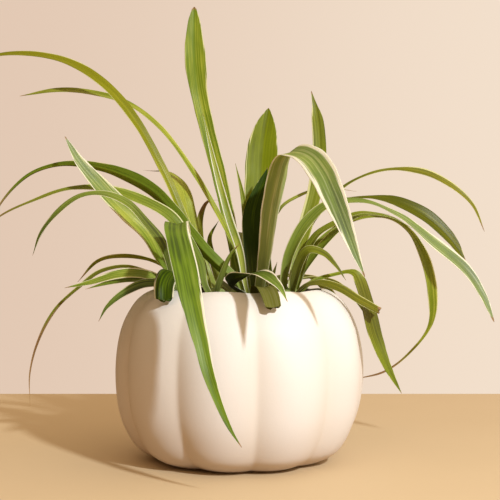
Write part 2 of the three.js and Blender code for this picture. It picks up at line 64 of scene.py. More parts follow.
def paint(red, green, blue):
    """A colour given as a screen shows it, 0 to 255, turned into the light that it stands for."""
    shown = np.array([red, green, blue]) / 255
    light = np.where(shown <= 0.04045, shown / 12.92, ((shown + 0.055) / 1.055) ** 2.4)
    return (*light.tolist(), 1.0)


class Nodes:
    """A node tree, and short ways to add to it."""

    def __init__(self, tree):
        self.tree = tree

    def feed(self, socket, value):
        """Gives an input a constant, or links another node's output to it."""
        if isinstance(value, bpy.types.NodeSocket):
            self.tree.links.new(value, socket)
        else:
            socket.default_value = value

    def add(self, kind, *values, **named):
        """Adds a node and returns its outputs. values go into its inputs in their order, and a
        named value into the input of that name, with _ for a space. A name in small letters is
        one of the node's own properties."""
        node = self.tree.nodes.new("ShaderNode" + kind)
        for name in filter(str.islower, named):
            setattr(node, name, named[name])
        for socket, value in zip((s for s in node.inputs if s.enabled), values):
            self.feed(socket, value)
        for name, value in named.items():
            if not name.islower():
                self.feed(node.inputs[name.replace("_", " ")], value)
        return node.outputs

    def place(self):
        """The place of each point, in metres."""
        return self.add("TexCoord")["Object"]

    def reckon(self, operation, *values):
        """The result of one operation of the Math node."""
        return self.add("Math", *values, operation=operation)["Value"]

    def blend(self, factor, first, second):
        """A colour that goes from the first to the second as the factor goes from 0 to 1."""
        mixed = self.add("Mix", factor, first, second, data_type="RGBA")
        return next(socket for socket in mixed if socket.enabled)

    def ramp(self, value, low, high, start=0.0, end=1.0):
        """A value's way from low to high, turned into start to end with both ends softened."""
        return self.add("MapRange", interpolation_type="SMOOTHSTEP", Value=value, From_Min=low,
                        From_Max=high, To_Min=start, To_Max=end)["Result"]


class Surface(Nodes):
    """A material of one Principled shader, with constants set on the shader's own sockets."""

    def __init__(self, name, **constants):
        self.material = bpy.data.materials.new(name)
        self.material.use_nodes = True
        super().__init__(self.material.node_tree)
        self.shader = self.tree.nodes["Principled BSDF"]
        for socket, value in constants.items():
            self.dress(socket.replace("_", " "), value)

    def dress(self, socket, value):
        """Gives one of the shader's inputs a constant or another node's output."""
        self.feed(self.shader.inputs[socket], value)

    def roughen(self, height, distance, strength=1.0):
        """Lets a height, in units of distance in metres, bump the surface."""
        bump = self.add("Bump", Height=height, Distance=distance, Strength=strength)
        self.dress("Normal", bump["Normal"])


FLOOR_REACH = 1.8                         # metres, to the front and to both sides
FLOOR_BACK = 0.27
FLOOR_PAINT = paint(214, 190, 152)
FLOOR_SHADE = paint(206, 182, 143)
FLOOR_BOUNCE = paint(178, 143, 100)       # what the pot and the leaves catch of it
# The backdrop's darker left side is painted shade; it is lighter towards the right.
BACKDROP_SHADED_LEFT = paint(226, 200, 179)
BACKDROP_LIT_RIGHT = paint(243, 224, 204)
GLOW_ABOVE = (0.96, 0.69, 0.44, 1.0)      # the light from all round
GLOW_LEFT = (0.03, 0.018, 0.008, 1.0)
GLOW_RIGHT = (1.15, 1.0, 0.82, 1.0)

floor_mesh = bpy.data.meshes.new("floor")
floor_mesh.from_pydata([(-FLOOR_REACH, -FLOOR_REACH, 0), (FLOOR_REACH, -FLOOR_REACH, 0),
                        (FLOOR_REACH, FLOOR_BACK, 0), (-FLOOR_REACH, FLOOR_BACK, 0)],
                       [], [(0, 1, 2, 3)])
floor = bpy.data.objects.new("floor", floor_mesh)
bpy.context.scene.collection.objects.link(floor)
floor_paint = Surface("floor_paint", Roughness=0.7)
patches = floor_paint.add("TexNoise", Vector=floor_paint.place(), Scale=6.0, Detail=3.0)["Fac"]
floor_colour = floor_paint.blend(patches, FLOOR_PAINT, FLOOR_SHADE)
seen = floor_paint.add("LightPath")["Is Camera Ray"]
floor_paint.dress("Base Color", floor_paint.blend(seen, FLOOR_BOUNCE, floor_colour))
floor_mesh.materials.append(floor_paint.material)

studio = bpy.data.worlds.new("studio")
studio.use_nodes = True
bpy.context.scene.world = studio
air = Nodes(studio.node_tree)
way = air.add("SeparateXYZ", air.add("TexCoord")["Generated"])
# The backdrop runs from painted shade on the left to its lighter right side.
backdrop = air.blend(air.ramp(way["X"], -0.3, 0.3), BACKDROP_SHADED_LEFT, BACKDROP_LIT_RIGHT)
glow = air.blend(air.ramp(way["X"], -0.3, 1.0), GLOW_LEFT, GLOW_RIGHT)
glow = air.blend(air.ramp(way["Z"], 0.1, 1.0), glow, GLOW_ABOVE)
seen_or_glow = air.add("MixShader", air.add("LightPath")["Is Camera Ray"],
                       air.add("Background", Color=glow)["Background"],
                       air.add("Background", Color=backdrop)["Background"])["Shader"]
air.feed(air.tree.nodes["World Output"].inputs["Surface"], seen_or_glow)

LAMP_TURN = 31                   # degrees from the front towards the right
LAMP_RISE = 31
LAMP_AWAY = 1600
LAMP_AIM = (0, 0, 120)
LAMP_SIZE = 80
LAMP_POWER = 24.5
LAMP_COLOUR = (0.88, 0.94, 1.0)

lamp_data = bpy.data.lights.new("key_lamp", "AREA")
lamp_data.shape = "DISK"
lamp_data.size = LAMP_SIZE * MM
lamp_data.energy = LAMP_POWER
lamp_data.color = LAMP_COLOUR
lamp = bpy.data.objects.new("key_lamp", lamp_data)
lamp_turn, lamp_rise = np.radians([LAMP_TURN, LAMP_RISE])
lamp_way = np.array([np.sin(lamp_turn) * np.cos(lamp_rise),
                     -np.cos(lamp_turn) * np.cos(lamp_rise), np.sin(lamp_rise)])
lamp.location = (lamp_way * LAMP_AWAY + LAMP_AIM) * MM
lamp.rotation_euler = (np.pi / 2 - lamp_rise, 0, lamp_turn)
bpy.context.scene.collection.objects.link(lamp)

bpy.context.scene.view_settings.view_transform = "Standard"


# ---- The pot ---------------------------------------------------------------------------
# A slip-cast bowl with ten broad lobes and a rounded lip, under a matte ivory glaze. It
# stands on a flat, bare foot, and it is filled with soil to a little below the lip.

POT_HEIGHT = 102.5
POT_OUTLINE = [(49, 0), (63.5, 9), (73, 28), (76, 54), (72.5, 78), (63.5, 95), (53.5, POT_HEIGHT)]
POT_WALL = 5
POT_FLOOR = 7
FOOT_EDGE = 3
FOOT_EDGE_RISE = 4
FOOT_HOLLOW = 0.7                # how far the middle of the foot is off the ground
CORNER_RISE = 6                  # inside, where the wall turns in to the floor
CORNER_INSET = 12
LOBES = 10
LOBE_FULLNESS = 0.375
GROOVE_ROUNDING = 0.012
GROOVE_TURN = 8
GROOVE_DEPTH = 4.6
GROOVE_DEPTH_RIM = 1.7
RIM_WAVE = 1.1                   # how far the lip dips at a groove
WAVE_FROM = 88                   # the height where the dip sets in
WAVE_FULL = 102                  # the height where it has its whole depth
WAVE_FULL_INSIDE = 101
LIP_RISE = 2.6
GLAZE_INSET = 0.3                # how far the skin lies inside the solid's
POT_STEPS = 400                  # round the pot


def smooth(low, high, at):
    """0 below low and 1 above high, with an S-shaped rise between them."""
    share = np.clip((np.asarray(at, float) - low) / (high - low), 0, 1)
    return share * share * (3 - 2 * share)


def crest_radius(height):
    """Radius of the lobes' crests at a height. The outline is the uniform Catmull-Rom curve
    through POT_OUTLINE: between two points it leaves and arrives with half the step from the
    point before to the point after."""
    corner = np.array(POT_OUTLINE, float)
    corner = np.vstack([corner[:1], corner, corner[-1:]])
    along = np.linspace(0, len(POT_OUTLINE) - 1, 601)
    k = np.minimum(along.astype(int), len(POT_OUTLINE) - 2)
    w = (along - k)[:, None]
    p0, p1, p2, p3 = (corner[k + j] for j in range(4))
    curve = 0.5 * (2 * p1 + (p2 - p0) * w + (2 * p0 - 5 * p1 + 4 * p2 - p3) * w ** 2
                   + (3 * p1 - p0 - 3 * p2 + p3) * w ** 3)
    return np.interp(height, curve[:, 1], curve[:, 0])


def groove_at(turn):
    """0 on a crest and near 1 in a groove: the squared sine of half the lobe angle, rounded at
    the bottom of the groove and raised to a power that makes the crests broad."""
    wave = np.sin(np.radians((turn - GROOVE_TURN) * LOBES / 2)) ** 2
    return 1 - ((wave + GROOVE_ROUNDING) / (1 + GROOVE_ROUNDING)) ** LOBE_FULLNESS


def pot_rings(height, inset, dip=0.0, shrink=1.0, steps=POT_STEPS):
    """Rings round the pot, one for each height: the crest radius, less the groove and the
    inset, turned round the axis. dip lowers a ring in the grooves, shrink draws it inwards."""
    height, inset, dip, shrink = np.broadcast_arrays(height, inset, dip, shrink)
    turn = GROOVE_TURN + np.arange(steps) * 360 / steps
    groove = groove_at(turn)[None, :]
    depth = GROOVE_DEPTH + (GROOVE_DEPTH_RIM - GROOVE_DEPTH) * smooth(
        0.5 * POT_HEIGHT, POT_HEIGHT, height)
    radius = (crest_radius(height) - inset)[:, None] - depth[:, None] * groove
    radius = radius * shrink[:, None]
    up = height[:, None] - dip[:, None] * groove
    turn = np.radians(turn)[None, :]
    return np.stack([radius * np.sin(turn), -radius * np.cos(turn), up], -1)


def closed_mesh(name, rings, poles, **fields):
    """A closed mesh from rings of points: quads join each ring to the next, and a fan closes
    each end on its pole. Each field is a value or a vector for every point of the rings."""
    count, around = rings.shape[:2]
    index = np.arange(count * around).reshape(count, around)
    beside = np.roll(index, -1, axis=1)
    quads = np.stack([index[:-1], beside[:-1], beside[1:], index[1:]], -1).reshape(-1, 4)
    first, last = count * around, count * around + 1
    start = np.stack([np.full(around, first), beside[0], index[0]], -1)
    end = np.stack([np.full(around, last), index[-1], beside[-1]], -1)
    points = np.vstack([rings.reshape(-1, 3), poles]) * MM
    mesh = bpy.data.meshes.new(name)
    mesh.from_pydata(points.tolist(), [], quads.tolist() + start.tolist() + end.tolist())
    for field, values in fields.items():
        vector = values.ndim == 3
        made = mesh.attributes.new(field, "FLOAT_VECTOR" if vector else "FLOAT", "POINT")
        flat = values.reshape(-1, 3) if vector else values.reshape(-1, 1)
        flat = np.vstack([flat, flat[:1], flat[-1:]]).astype(np.float32)
        made.data.foreach_set("vector" if vector else "value", flat.ravel())
    mesh.shade_smooth()
    return mesh


def show_piece(name, mesh, surface, slot, *nodes):
    """Puts a finished mesh in the scene as a piece on the root body, in place of nodes."""
    piece = bpy.data.objects.new(name, mesh)
    bpy.context.scene.collection.objects.link(piece)
    mesh.materials.append(surface.material)
    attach(piece, "root")
    if nodes:
        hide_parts(*nodes)


# The skin runs from the middle of the foot out to its edge, up the side, over the lip and down
# the inside. Each stretch gives its heights, insets, dips and shrinks.
foot_share = np.array([0.3, 0.7, 0.86, 0.9])
foot_lift = FOOT_HOLLOW * (1 - smooth(0.86, 0.94, foot_share))
edge = np.radians(np.linspace(0, 90, 7))
side = np.linspace(FOOT_EDGE_RISE, POT_HEIGHT - LIP_RISE, 90)[1:-1]
lip = np.radians(np.linspace(0, 180, 17))
inside = np.linspace(POT_HEIGHT - LIP_RISE, POT_FLOOR + CORNER_RISE, 50)[1:]
corner = np.radians(np.linspace(8, 90, 6))
pot_stretches = [
    (foot_lift, FOOT_EDGE, 0, foot_share),
    (FOOT_EDGE_RISE * (1 - np.cos(edge)), FOOT_EDGE * (1 - np.sin(edge)), 0, 1),
    (side, 0, RIM_WAVE * smooth(WAVE_FROM, WAVE_FULL, side), 1),
    (POT_HEIGHT - LIP_RISE * (1 - np.sin(lip)), 0.5 * POT_WALL * (1 - np.cos(lip)), RIM_WAVE, 1),
    (inside, POT_WALL, RIM_WAVE * smooth(WAVE_FROM, WAVE_FULL_INSIDE, inside), 1),
    (POT_FLOOR + CORNER_RISE * np.cos(corner),
     POT_WALL + CORNER_INSET * (1 - np.cos(corner)), 0, 1),
]
pot_skin = np.concatenate([pot_rings(*stretch) for stretch in pot_stretches])
pot_turn = np.arctan2(pot_skin[..., 0], -pot_skin[..., 1])
pot_rise = pot_skin[..., 2]

# Two slow waves round and up the pot leave its glaze a little uneven.
hand_made = (0.22 * np.sin(3 * pot_turn + 0.05 * pot_rise)
             + 0.14 * np.sin(7 * pot_turn - 0.09 * pot_rise + 1)) * smooth(0, 30, pot_rise)
outward = np.stack([np.sin(pot_turn), -np.cos(pot_turn), np.zeros_like(pot_turn)], -1)
skin_inset = (GLAZE_INSET - hand_made) * smooth(4, 20, pot_rise)
pot_skin = pot_skin - skin_inset[..., None] * outward
# How deep in a groove each point lies, 0 on a crest to 1 in a groove; the glaze paints shade with
# it.
pot_groove = np.broadcast_to(groove_at(np.degrees(pot_turn)), pot_turn.shape)
pot_mesh = closed_mesh("pot_shell", pot_skin, [(0, 0, FOOT_HOLLOW), (0, 0, POT_FLOOR)],
                       groove=pot_groove)


class Effect(Nodes):
    """A node group for several materials, which takes numbers and at most a place on the
    surface, and puts out masks."""

    def __init__(self, name, numbers, masks, vectors=()):
        super().__init__(bpy.data.node_groups.new(name, "ShaderNodeTree"))
        for kind, way, sockets in (("Vector", "INPUT", vectors), ("Float", "INPUT", numbers),
                                   ("Float", "OUTPUT", masks)):
            for socket in sockets:
                self.tree.interface.new_socket(socket, in_out=way,
                                               socket_type="NodeSocket" + kind)
        self.given = self.tree.nodes.new("NodeGroupInput").outputs
        self.result = self.tree.nodes.new("NodeGroupOutput").inputs


# Soft patches, fine specks and grain on a surface, from noise on its place: masks, 0 to 1.
mottle = Effect("mottle", ["Patch size", "Speck size", "Speck share"],
                ["Patches", "Specks", "Grain"], ["Place"])
place, speck_size = mottle.given["Place"], mottle.given["Speck size"]
speck_far = mottle.add("TexVoronoi", Vector=place, Scale=speck_size)["Distance"]
mottle.feed(mottle.result["Patches"],
            mottle.add("TexNoise", Vector=place, Scale=mottle.given["Patch size"], Detail=4.0,
                       Roughness=0.55)["Fac"])
mottle.feed(mottle.result["Specks"],
            mottle.add("MapRange", Value=speck_far, From_Max=mottle.given["Speck share"],
                       To_Min=1.0, To_Max=0.0)["Result"])
mottle.feed(mottle.result["Grain"],
            mottle.add("TexNoise", Vector=place, Scale=speck_size, Detail=6.0,
                       Roughness=0.7)["Fac"])


def mottled(surface, **sizes):
    """The mottle's masks in a material, on the piece's Object coordinates."""
    return surface.add("Group", node_tree=mottle.tree, Place=surface.place(), **sizes)


IVORY = paint(236, 231, 224)
IVORY_WARM = paint(232, 226, 216)
IVORY_GROOVE_SHADE = paint(226, 214, 196)
GLAZE_SPECK = paint(190, 160, 118)
BARE_CLAY = paint(214, 190, 156)

glaze = Surface("ivory_glaze", Specular_IOR_Level=0.42)
masks = mottled(glaze, Patch_size=22.0, Speck_size=900.0, Speck_share=0.16)
height = glaze.add("SeparateXYZ", glaze.place())["Z"]
groove = glaze.add("Attribute", attribute_name="groove")["Fac"]
colour = glaze.blend(masks["Patches"], IVORY, IVORY_WARM)
# Painted shade: the glaze is painted darker and warmer towards the bottom of each groove.
colour = glaze.blend(glaze.reckon("MULTIPLY", groove, 0.55), colour, IVORY_GROOVE_SHADE)
colour = glaze.blend(glaze.reckon("MULTIPLY", masks["Specks"], 0.22), colour, GLAZE_SPECK)
colour = glaze.blend(glaze.ramp(height, 0.0022, 0.0008), colour, BARE_CLAY)
glaze.dress("Base Color", colour)
glaze.dress("Roughness", glaze.ramp(masks["Patches"], 0.2, 0.8, 0.5, 0.62))
relief = glaze.reckon("MULTIPLY_ADD", masks["Patches"], 3.0, masks["Grain"])
glaze.roughen(relief, 0.00008, 0.6)

show_piece("ribbed_pot", pot_mesh, glaze, "pot_ceramic", "pot")


# ---- The soil --------------------------------------------------------------------------
# Dark, moist potting mix. Its top is a low mound of fine clods, with bits of bark and a few
# white grains of perlite lying on it. The plants' crowns stand in it.

SOIL_TOP = 93
SOIL_MOUND = 2.5
SOIL_REACH = 50                  # the mound's radius
SOIL_GAP = 0.3                   # between the soil and the pot
CLODS = ((0.9, 9, 3), (0.5, 3.4, 5), (0.28, 1.3, 7))      # height, size and seed
CROWN_SWELL = 1.2                # how far the soil rises round a crown, and how wide
CROWN_SWELL_REACH = 11
CROWNS = {"left": (-34, -9), "inner_left": (-15, 6), "middle": (8, 3), "right": (31, 1),
          "back": (0, 27)}


def lattice_noise(x, y, cell, seed):
    """Smooth noise from -1 to 1: random values on a square lattice of a cell's width, with an
    S-shaped blend between the four round each point."""
    values = np.random.default_rng(seed).uniform(-1, 1, (128, 128))
    u, v = np.asarray(x) / cell + 64, np.asarray(y) / cell + 64
    i, j = np.floor(u).astype(int), np.floor(v).astype(int)
    a, b = smooth(0, 1, u - i), smooth(0, 1, v - j)
    return ((values[i % 128, j % 128] * (1 - a) + values[(i + 1) % 128, j % 128] * a) * (1 - b)
            + (values[i % 128, (j + 1) % 128] * (1 - a)
               + values[(i + 1) % 128, (j + 1) % 128] * a) * b)


def soil_height(x, y):
    """The mound, plus clods at three sizes, plus a slight rise round each crown."""
    height = SOIL_TOP + SOIL_MOUND * (1 - (np.hypot(x, y) / SOIL_REACH) ** 2)
    for clod_height, size, seed in CLODS:
        height = height + clod_height * lattice_noise(x, y, size, seed)
    for crown_x, crown_y in CROWNS.values():
        away = np.hypot(x - crown_x, y - crown_y) / CROWN_SWELL_REACH
        height = height + CROWN_SWELL * np.exp(-away ** 4)
    return height


SOIL_FOOT = 8
SOIL_EDGE = 1.2                  # how far the edge lies below the top
SOIL_STEPS = 320
soil_lift = np.array([SOIL_FOOT, 13, 30, 50, 70, 85, SOIL_TOP - SOIL_EDGE])
soil_inset = POT_WALL + SOIL_GAP + np.array([13, 1, 0, 0, 0, 0, 0.0])
soil_side = pot_rings(soil_lift, soil_inset, steps=SOIL_STEPS)
soil_rim = pot_rings(np.array([SOIL_TOP]), POT_WALL + SOIL_GAP, steps=SOIL_STEPS)
soil_top = soil_rim * np.linspace(0.985, 0.03, 84)[:, None, None]
soil_top[..., 2] = soil_height(soil_top[..., 0], soil_top[..., 1])
soil_mesh = closed_mesh("soil_body", np.concatenate([soil_side, soil_top]),
                        [(0, 0, SOIL_FOOT), (0, 0, soil_height(0, 0))])

PEAT_DARK = paint(44, 31, 22)
PEAT_LIGHT = paint(92, 67, 46)
PEAT_FIBRE = paint(122, 92, 62)

peat = Surface("potting_mix", Roughness=0.92, Specular_IOR_Level=0.3)
masks = mottled(peat, Patch_size=260.0, Speck_size=1500.0, Speck_share=0.3)
colour = peat.blend(peat.ramp(masks["Patches"], 0.35, 0.7), PEAT_DARK, PEAT_LIGHT)
colour = peat.blend(peat.ramp(masks["Grain"], 0.5, 0.7, 0, 0.7), colour, PEAT_FIBRE)
peat.dress("Base Color", colour)
peat.roughen(masks["Grain"], 0.0012)
show_piece("soil_mound", soil_mesh, peat, "potting_soil", "soil")

CRUMBS = 1100
CRUMB_REACH = 45.5
PERLITE_SHARE = 0.12
PERLITE_SIZES = (0.7, 1.6)
BARK_SIZES = (0.5, 1.7)
BARK_DARK = paint(52, 34, 22)
BARK_LIGHT = paint(134, 98, 62)
BARK_GRAIN = paint(60, 42, 28)
PERLITE_WHITE = paint(236, 232, 222)
PERLITE_GREY = paint(196, 186, 168)


def crumbs():
    """Loose bits on the soil: each is a twelve-cornered lump with its corners pushed in and out
    at random, stretched, turned at random, and half sunk in the surface. Returns the points,
    the faces, and a value from 0 for bark to 1 for perlite for each point."""
    chance = np.random.default_rng(11)
    golden = (1 + 5 ** 0.5) / 2
    corner = np.array([(0, a, b * golden) for a in (-1, 1) for b in (-1, 1)]
                      + [(a, b * golden, 0) for a in (-1, 1) for b in (-1, 1)]
                      + [(b * golden, 0, a) for a in (-1, 1) for b in (-1, 1)])
    corner = corner / np.linalg.norm(corner[0])
    apart = np.linalg.norm(corner[:, None] - corner[None], axis=-1)
    close = np.isclose(apart, np.sort(apart[0])[1])
    faces = [(a, b, c) for a in range(12) for b in range(a + 1, 12) for c in range(b + 1, 12)
             if close[a, b] and close[b, c] and close[a, c]]
    faces = np.array([f if np.linalg.det(corner[list(f)]) > 0 else f[::-1] for f in faces])
    perlite = chance.random(CRUMBS) < PERLITE_SHARE
    size = np.where(perlite, chance.uniform(*PERLITE_SIZES, CRUMBS),
                    chance.uniform(*BARK_SIZES, CRUMBS))
    stretch = np.stack([size, size * chance.uniform(0.5, 1, CRUMBS),
                        size * np.where(perlite, 0.8, chance.uniform(0.3, 0.7, CRUMBS))], -1)
    lump = corner * chance.uniform(0.75, 1.1, (CRUMBS, 12, 1)) * stretch[:, None]
    spin = chance.uniform(0, 2 * np.pi, CRUMBS)[:, None]
    lean = chance.normal(0, 0.35, CRUMBS)[:, None]
    x, y, z = np.moveaxis(lump, -1, 0)
    y, z = y * np.cos(lean) - z * np.sin(lean), y * np.sin(lean) + z * np.cos(lean)
    x, y = x * np.cos(spin) - y * np.sin(spin), x * np.sin(spin) + y * np.cos(spin)
    turn = chance.uniform(0, 2 * np.pi, CRUMBS)
    out = CRUMB_REACH * np.sqrt(chance.random(CRUMBS))
    place_x, place_y = out * np.sin(turn), out * np.cos(turn)
    lift = soil_height(place_x, place_y) + 0.25 * size
    points = np.stack([x + place_x[:, None], y + place_y[:, None], z + lift[:, None]], -1)
    every = (faces[None] + 12 * np.arange(CRUMBS)[:, None, None]).reshape(-1, 3)
    shade = np.where(perlite, 1, 0.6 * chance.random(CRUMBS)).repeat(12)
    return points.reshape(-1, 3) * MM, every, shade


crumb_points, crumb_faces, crumb_shade = crumbs()
crumb_mesh = bpy.data.meshes.new("soil_crumbs")
crumb_mesh.from_pydata(crumb_points.tolist(), [], crumb_faces.tolist())
crumb_mesh.attributes.new("shade", "FLOAT", "POINT").data.foreach_set(
    "value", crumb_shade.astype(np.float32))

bark = Surface("bark_and_perlite", Roughness=0.85)
grain = mottled(bark, Patch_size=700.0, Speck_size=2500.0, Speck_share=0.3)["Grain"]
kind = bark.add("Attribute", attribute_name="shade")["Fac"]
colour = bark.blend(bark.ramp(kind, 0.0, 0.6), BARK_DARK, BARK_LIGHT)
colour = bark.blend(bark.reckon("MULTIPLY", grain, 0.5), colour, BARK_GRAIN)
colour = bark.blend(bark.reckon("GREATER_THAN", kind, 0.8), colour,
                    bark.blend(grain, PERLITE_WHITE, PERLITE_GREY))
bark.dress("Base Color", colour)
bark.roughen(grain, 0.0003)
show_piece("soil_crumbs", crumb_mesh, bark, "potting_soil")


# ---- The crowns ------------------------------------------------------------------------
# Each tuft's crown is a short stub of leaf bases that clasp one another like the layers of
# a leek. It is pale where it comes out of the soil and greener above.

CROWN_RADIUS = 8
CROWN_FOOT = 84
CROWN_TOP = 103
CROWN_DOME = 6.4                 # how high the domed top is
SHEATHS = 7
SHEATH_INSIDE = 0.82             # of the radius, where a sheath goes in under the next
SHEATH_STEP = 0.17
SHEATH_LEAN = 0.035              # sheaths that an edge passes for each mm up


def crown_rings(place, first_turn):
    """A round stub with a domed top. Each sheath's edge stands out a little and then falls
    away to the next one, and the edges run slightly round the stub on their way up."""
    lift = np.concatenate([np.linspace(CROWN_FOOT, CROWN_TOP - CROWN_DOME, 26),
                           CROWN_TOP - CROWN_DOME
                           + CROWN_DOME * np.sin(np.radians(np.linspace(0, 84, 16)[1:]))])
    dome = np.clip((lift - CROWN_TOP + CROWN_DOME) / CROWN_DOME, 0, 1)
    radius = CROWN_RADIUS * np.sqrt(np.maximum(1 - dome ** 2, 0.004))
    turn = np.linspace(0, 2 * np.pi, 168, endpoint=False)
    layer = (SHEATHS * turn[None] / (2 * np.pi) + SHEATH_LEAN * (lift[:, None] - CROWN_FOOT)
             + first_turn) % 1
    step = SHEATH_STEP * (1 - layer) ** 1.6 * smooth(0, 0.06, layer)
    out = radius[:, None] * (SHEATH_INSIDE + step)
    rings = np.stack([place[0] + out * np.cos(turn), place[1] + out * np.sin(turn),
                      np.broadcast_to(lift[:, None], out.shape)], -1)
    height = (lift - CROWN_FOOT) / (CROWN_TOP - CROWN_FOOT)
    sheath = np.stack([layer, np.broadcast_to(height[:, None], layer.shape),
                       np.broadcast_to(turn[None] * CROWN_RADIUS * MM, layer.shape)], -1)
    return rings, sheath


# Fine lengthwise streaks, from noise on (across, along, number), with both ways in metres:
# broad bands, fine lines, and a slow wander along the piece, each 0 to 1.
fibre = Effect("fibres", ["Across", "Along", "Number"], ["Bands", "Lines", "Wander"])
for mask, across, along in (("Bands", 1100.0, 16.0), ("Lines", 4200.0, 30.0),
                            ("Wander", 120.0, 45.0)):
    place = fibre.add("CombineXYZ", fibre.reckon("MULTIPLY", fibre.given["Across"], across),
                      fibre.reckon("MULTIPLY", fibre.given["Along"], along),
                      fibre.given["Number"])["Vector"]
    noise = fibre.add("TexNoise", Vector=place, Scale=1.0, Detail=2.0, Roughness=0.5)["Fac"]
    fibre.feed(fibre.result[mask], fibre.ramp(noise, 0.3, 0.7))

SHEATH_PALE = paint(196, 202, 132)
SHEATH_GREEN = paint(128, 150, 74)
SHEATH_EDGE = paint(168, 140, 92)

sheath = Surface("clasping_sheath", Roughness=0.5)
layer, height, round_it = sheath.add(
    "SeparateXYZ", sheath.add("Attribute", attribute_name="sheath")["Vector"])
streaks = sheath.add("Group", node_tree=fibre.tree, Across=round_it,
                     Along=sheath.reckon("MULTIPLY", height, 0.02), Number=3.0)
colour = sheath.blend(sheath.ramp(height, 0.45, 1.0), SHEATH_PALE, SHEATH_GREEN)
colour = sheath.blend(sheath.reckon("MULTIPLY", streaks["Bands"], 0.35), colour, SHEATH_GREEN)
colour = sheath.blend(sheath.ramp(layer, 0.1, 0.0, 0, 0.8), colour, SHEATH_EDGE)
sheath.dress("Base Color", colour)
sheath.roughen(streaks["Lines"], 0.00015)

for number, (crown, place) in enumerate(CROWNS.items()):
    rings, sheath_field = crown_rings(place, 0.37 * number)
    poles = [(*place, CROWN_FOOT), (*place, CROWN_TOP)]
    mesh = closed_mesh(f"clasping_bases_{crown}", rings, poles, sheath=sheath_field)
    show_piece(f"clasping_bases_{crown}", mesh, sheath, "leaf_base", f"crown_{crown}")


# ---- The leaves ------------------------------------------------------------------------
# Each leaf is one thin strap that grows out of its crown, folded along its midrib. It is
# green in the middle, with pale margins and fine lengthwise streaks, and some tips are dry.

# route is the midrib's way to the tip, and width the blade's widest. widths gives its part of
# that at shares of the length; else it is widest at the share broadest, and a clipped leaf
# ends in a straight cut. The blade lies level across heading, in degrees from +X, and roll
# turns it about the midrib. margin is the pale share of each half, shift moves both margins to
# one side, white is how white they are, and the streaks value how pale the streaks are; where
# these are high they are partly a painted sheen. The tone goes from 0, deep green, to 1,
# yellow-green, olive is how brown the green is, and dry the share of the length that is brown.
# Tone and olive give the leaf's own colour, and on some leaves also painted shade where it lies
# in shadow, or painted light where it is lit or lit from behind. A list holds values at even
# places along the leaf.

LEAF_GAP = 0.14                  # how far the blade lies inside its solid's upper face
LEAF_BASE = 0.42                 # the base's part of the widest
LEAF_TIP = 0.3
LEAF_BROADEST = 0.35
POINT_CURVE = 1.8                # how full the point is
CLIPPED_LOSS = 0.2               # of the width, up to a clipped end
CLIPPED_TEAR = 1.3               # how uneven the cut is
FOLD_AT_BASE = 0.55
FOLD_FURTHER_OUT = 0.2
FOLD_OPENS_BY = 0.35
BLADE_MIDDLE = 0.42              # thickness of the blade at the midrib, and at its edges
BLADE_EDGE = 0.13
KEEL = 0.26                      # how far the midrib stands out below
PLEAT = 0.035                    # height of the fine lengthwise pleats
PLEATS = 5                       # on each half
RIPPLE = 0.2                     # how far the edges wave up and down
ROW_LENGTH = 1.5                 # along a leaf, between two rows of its mesh
HALF_COLUMNS = 12                # from the midrib to an edge

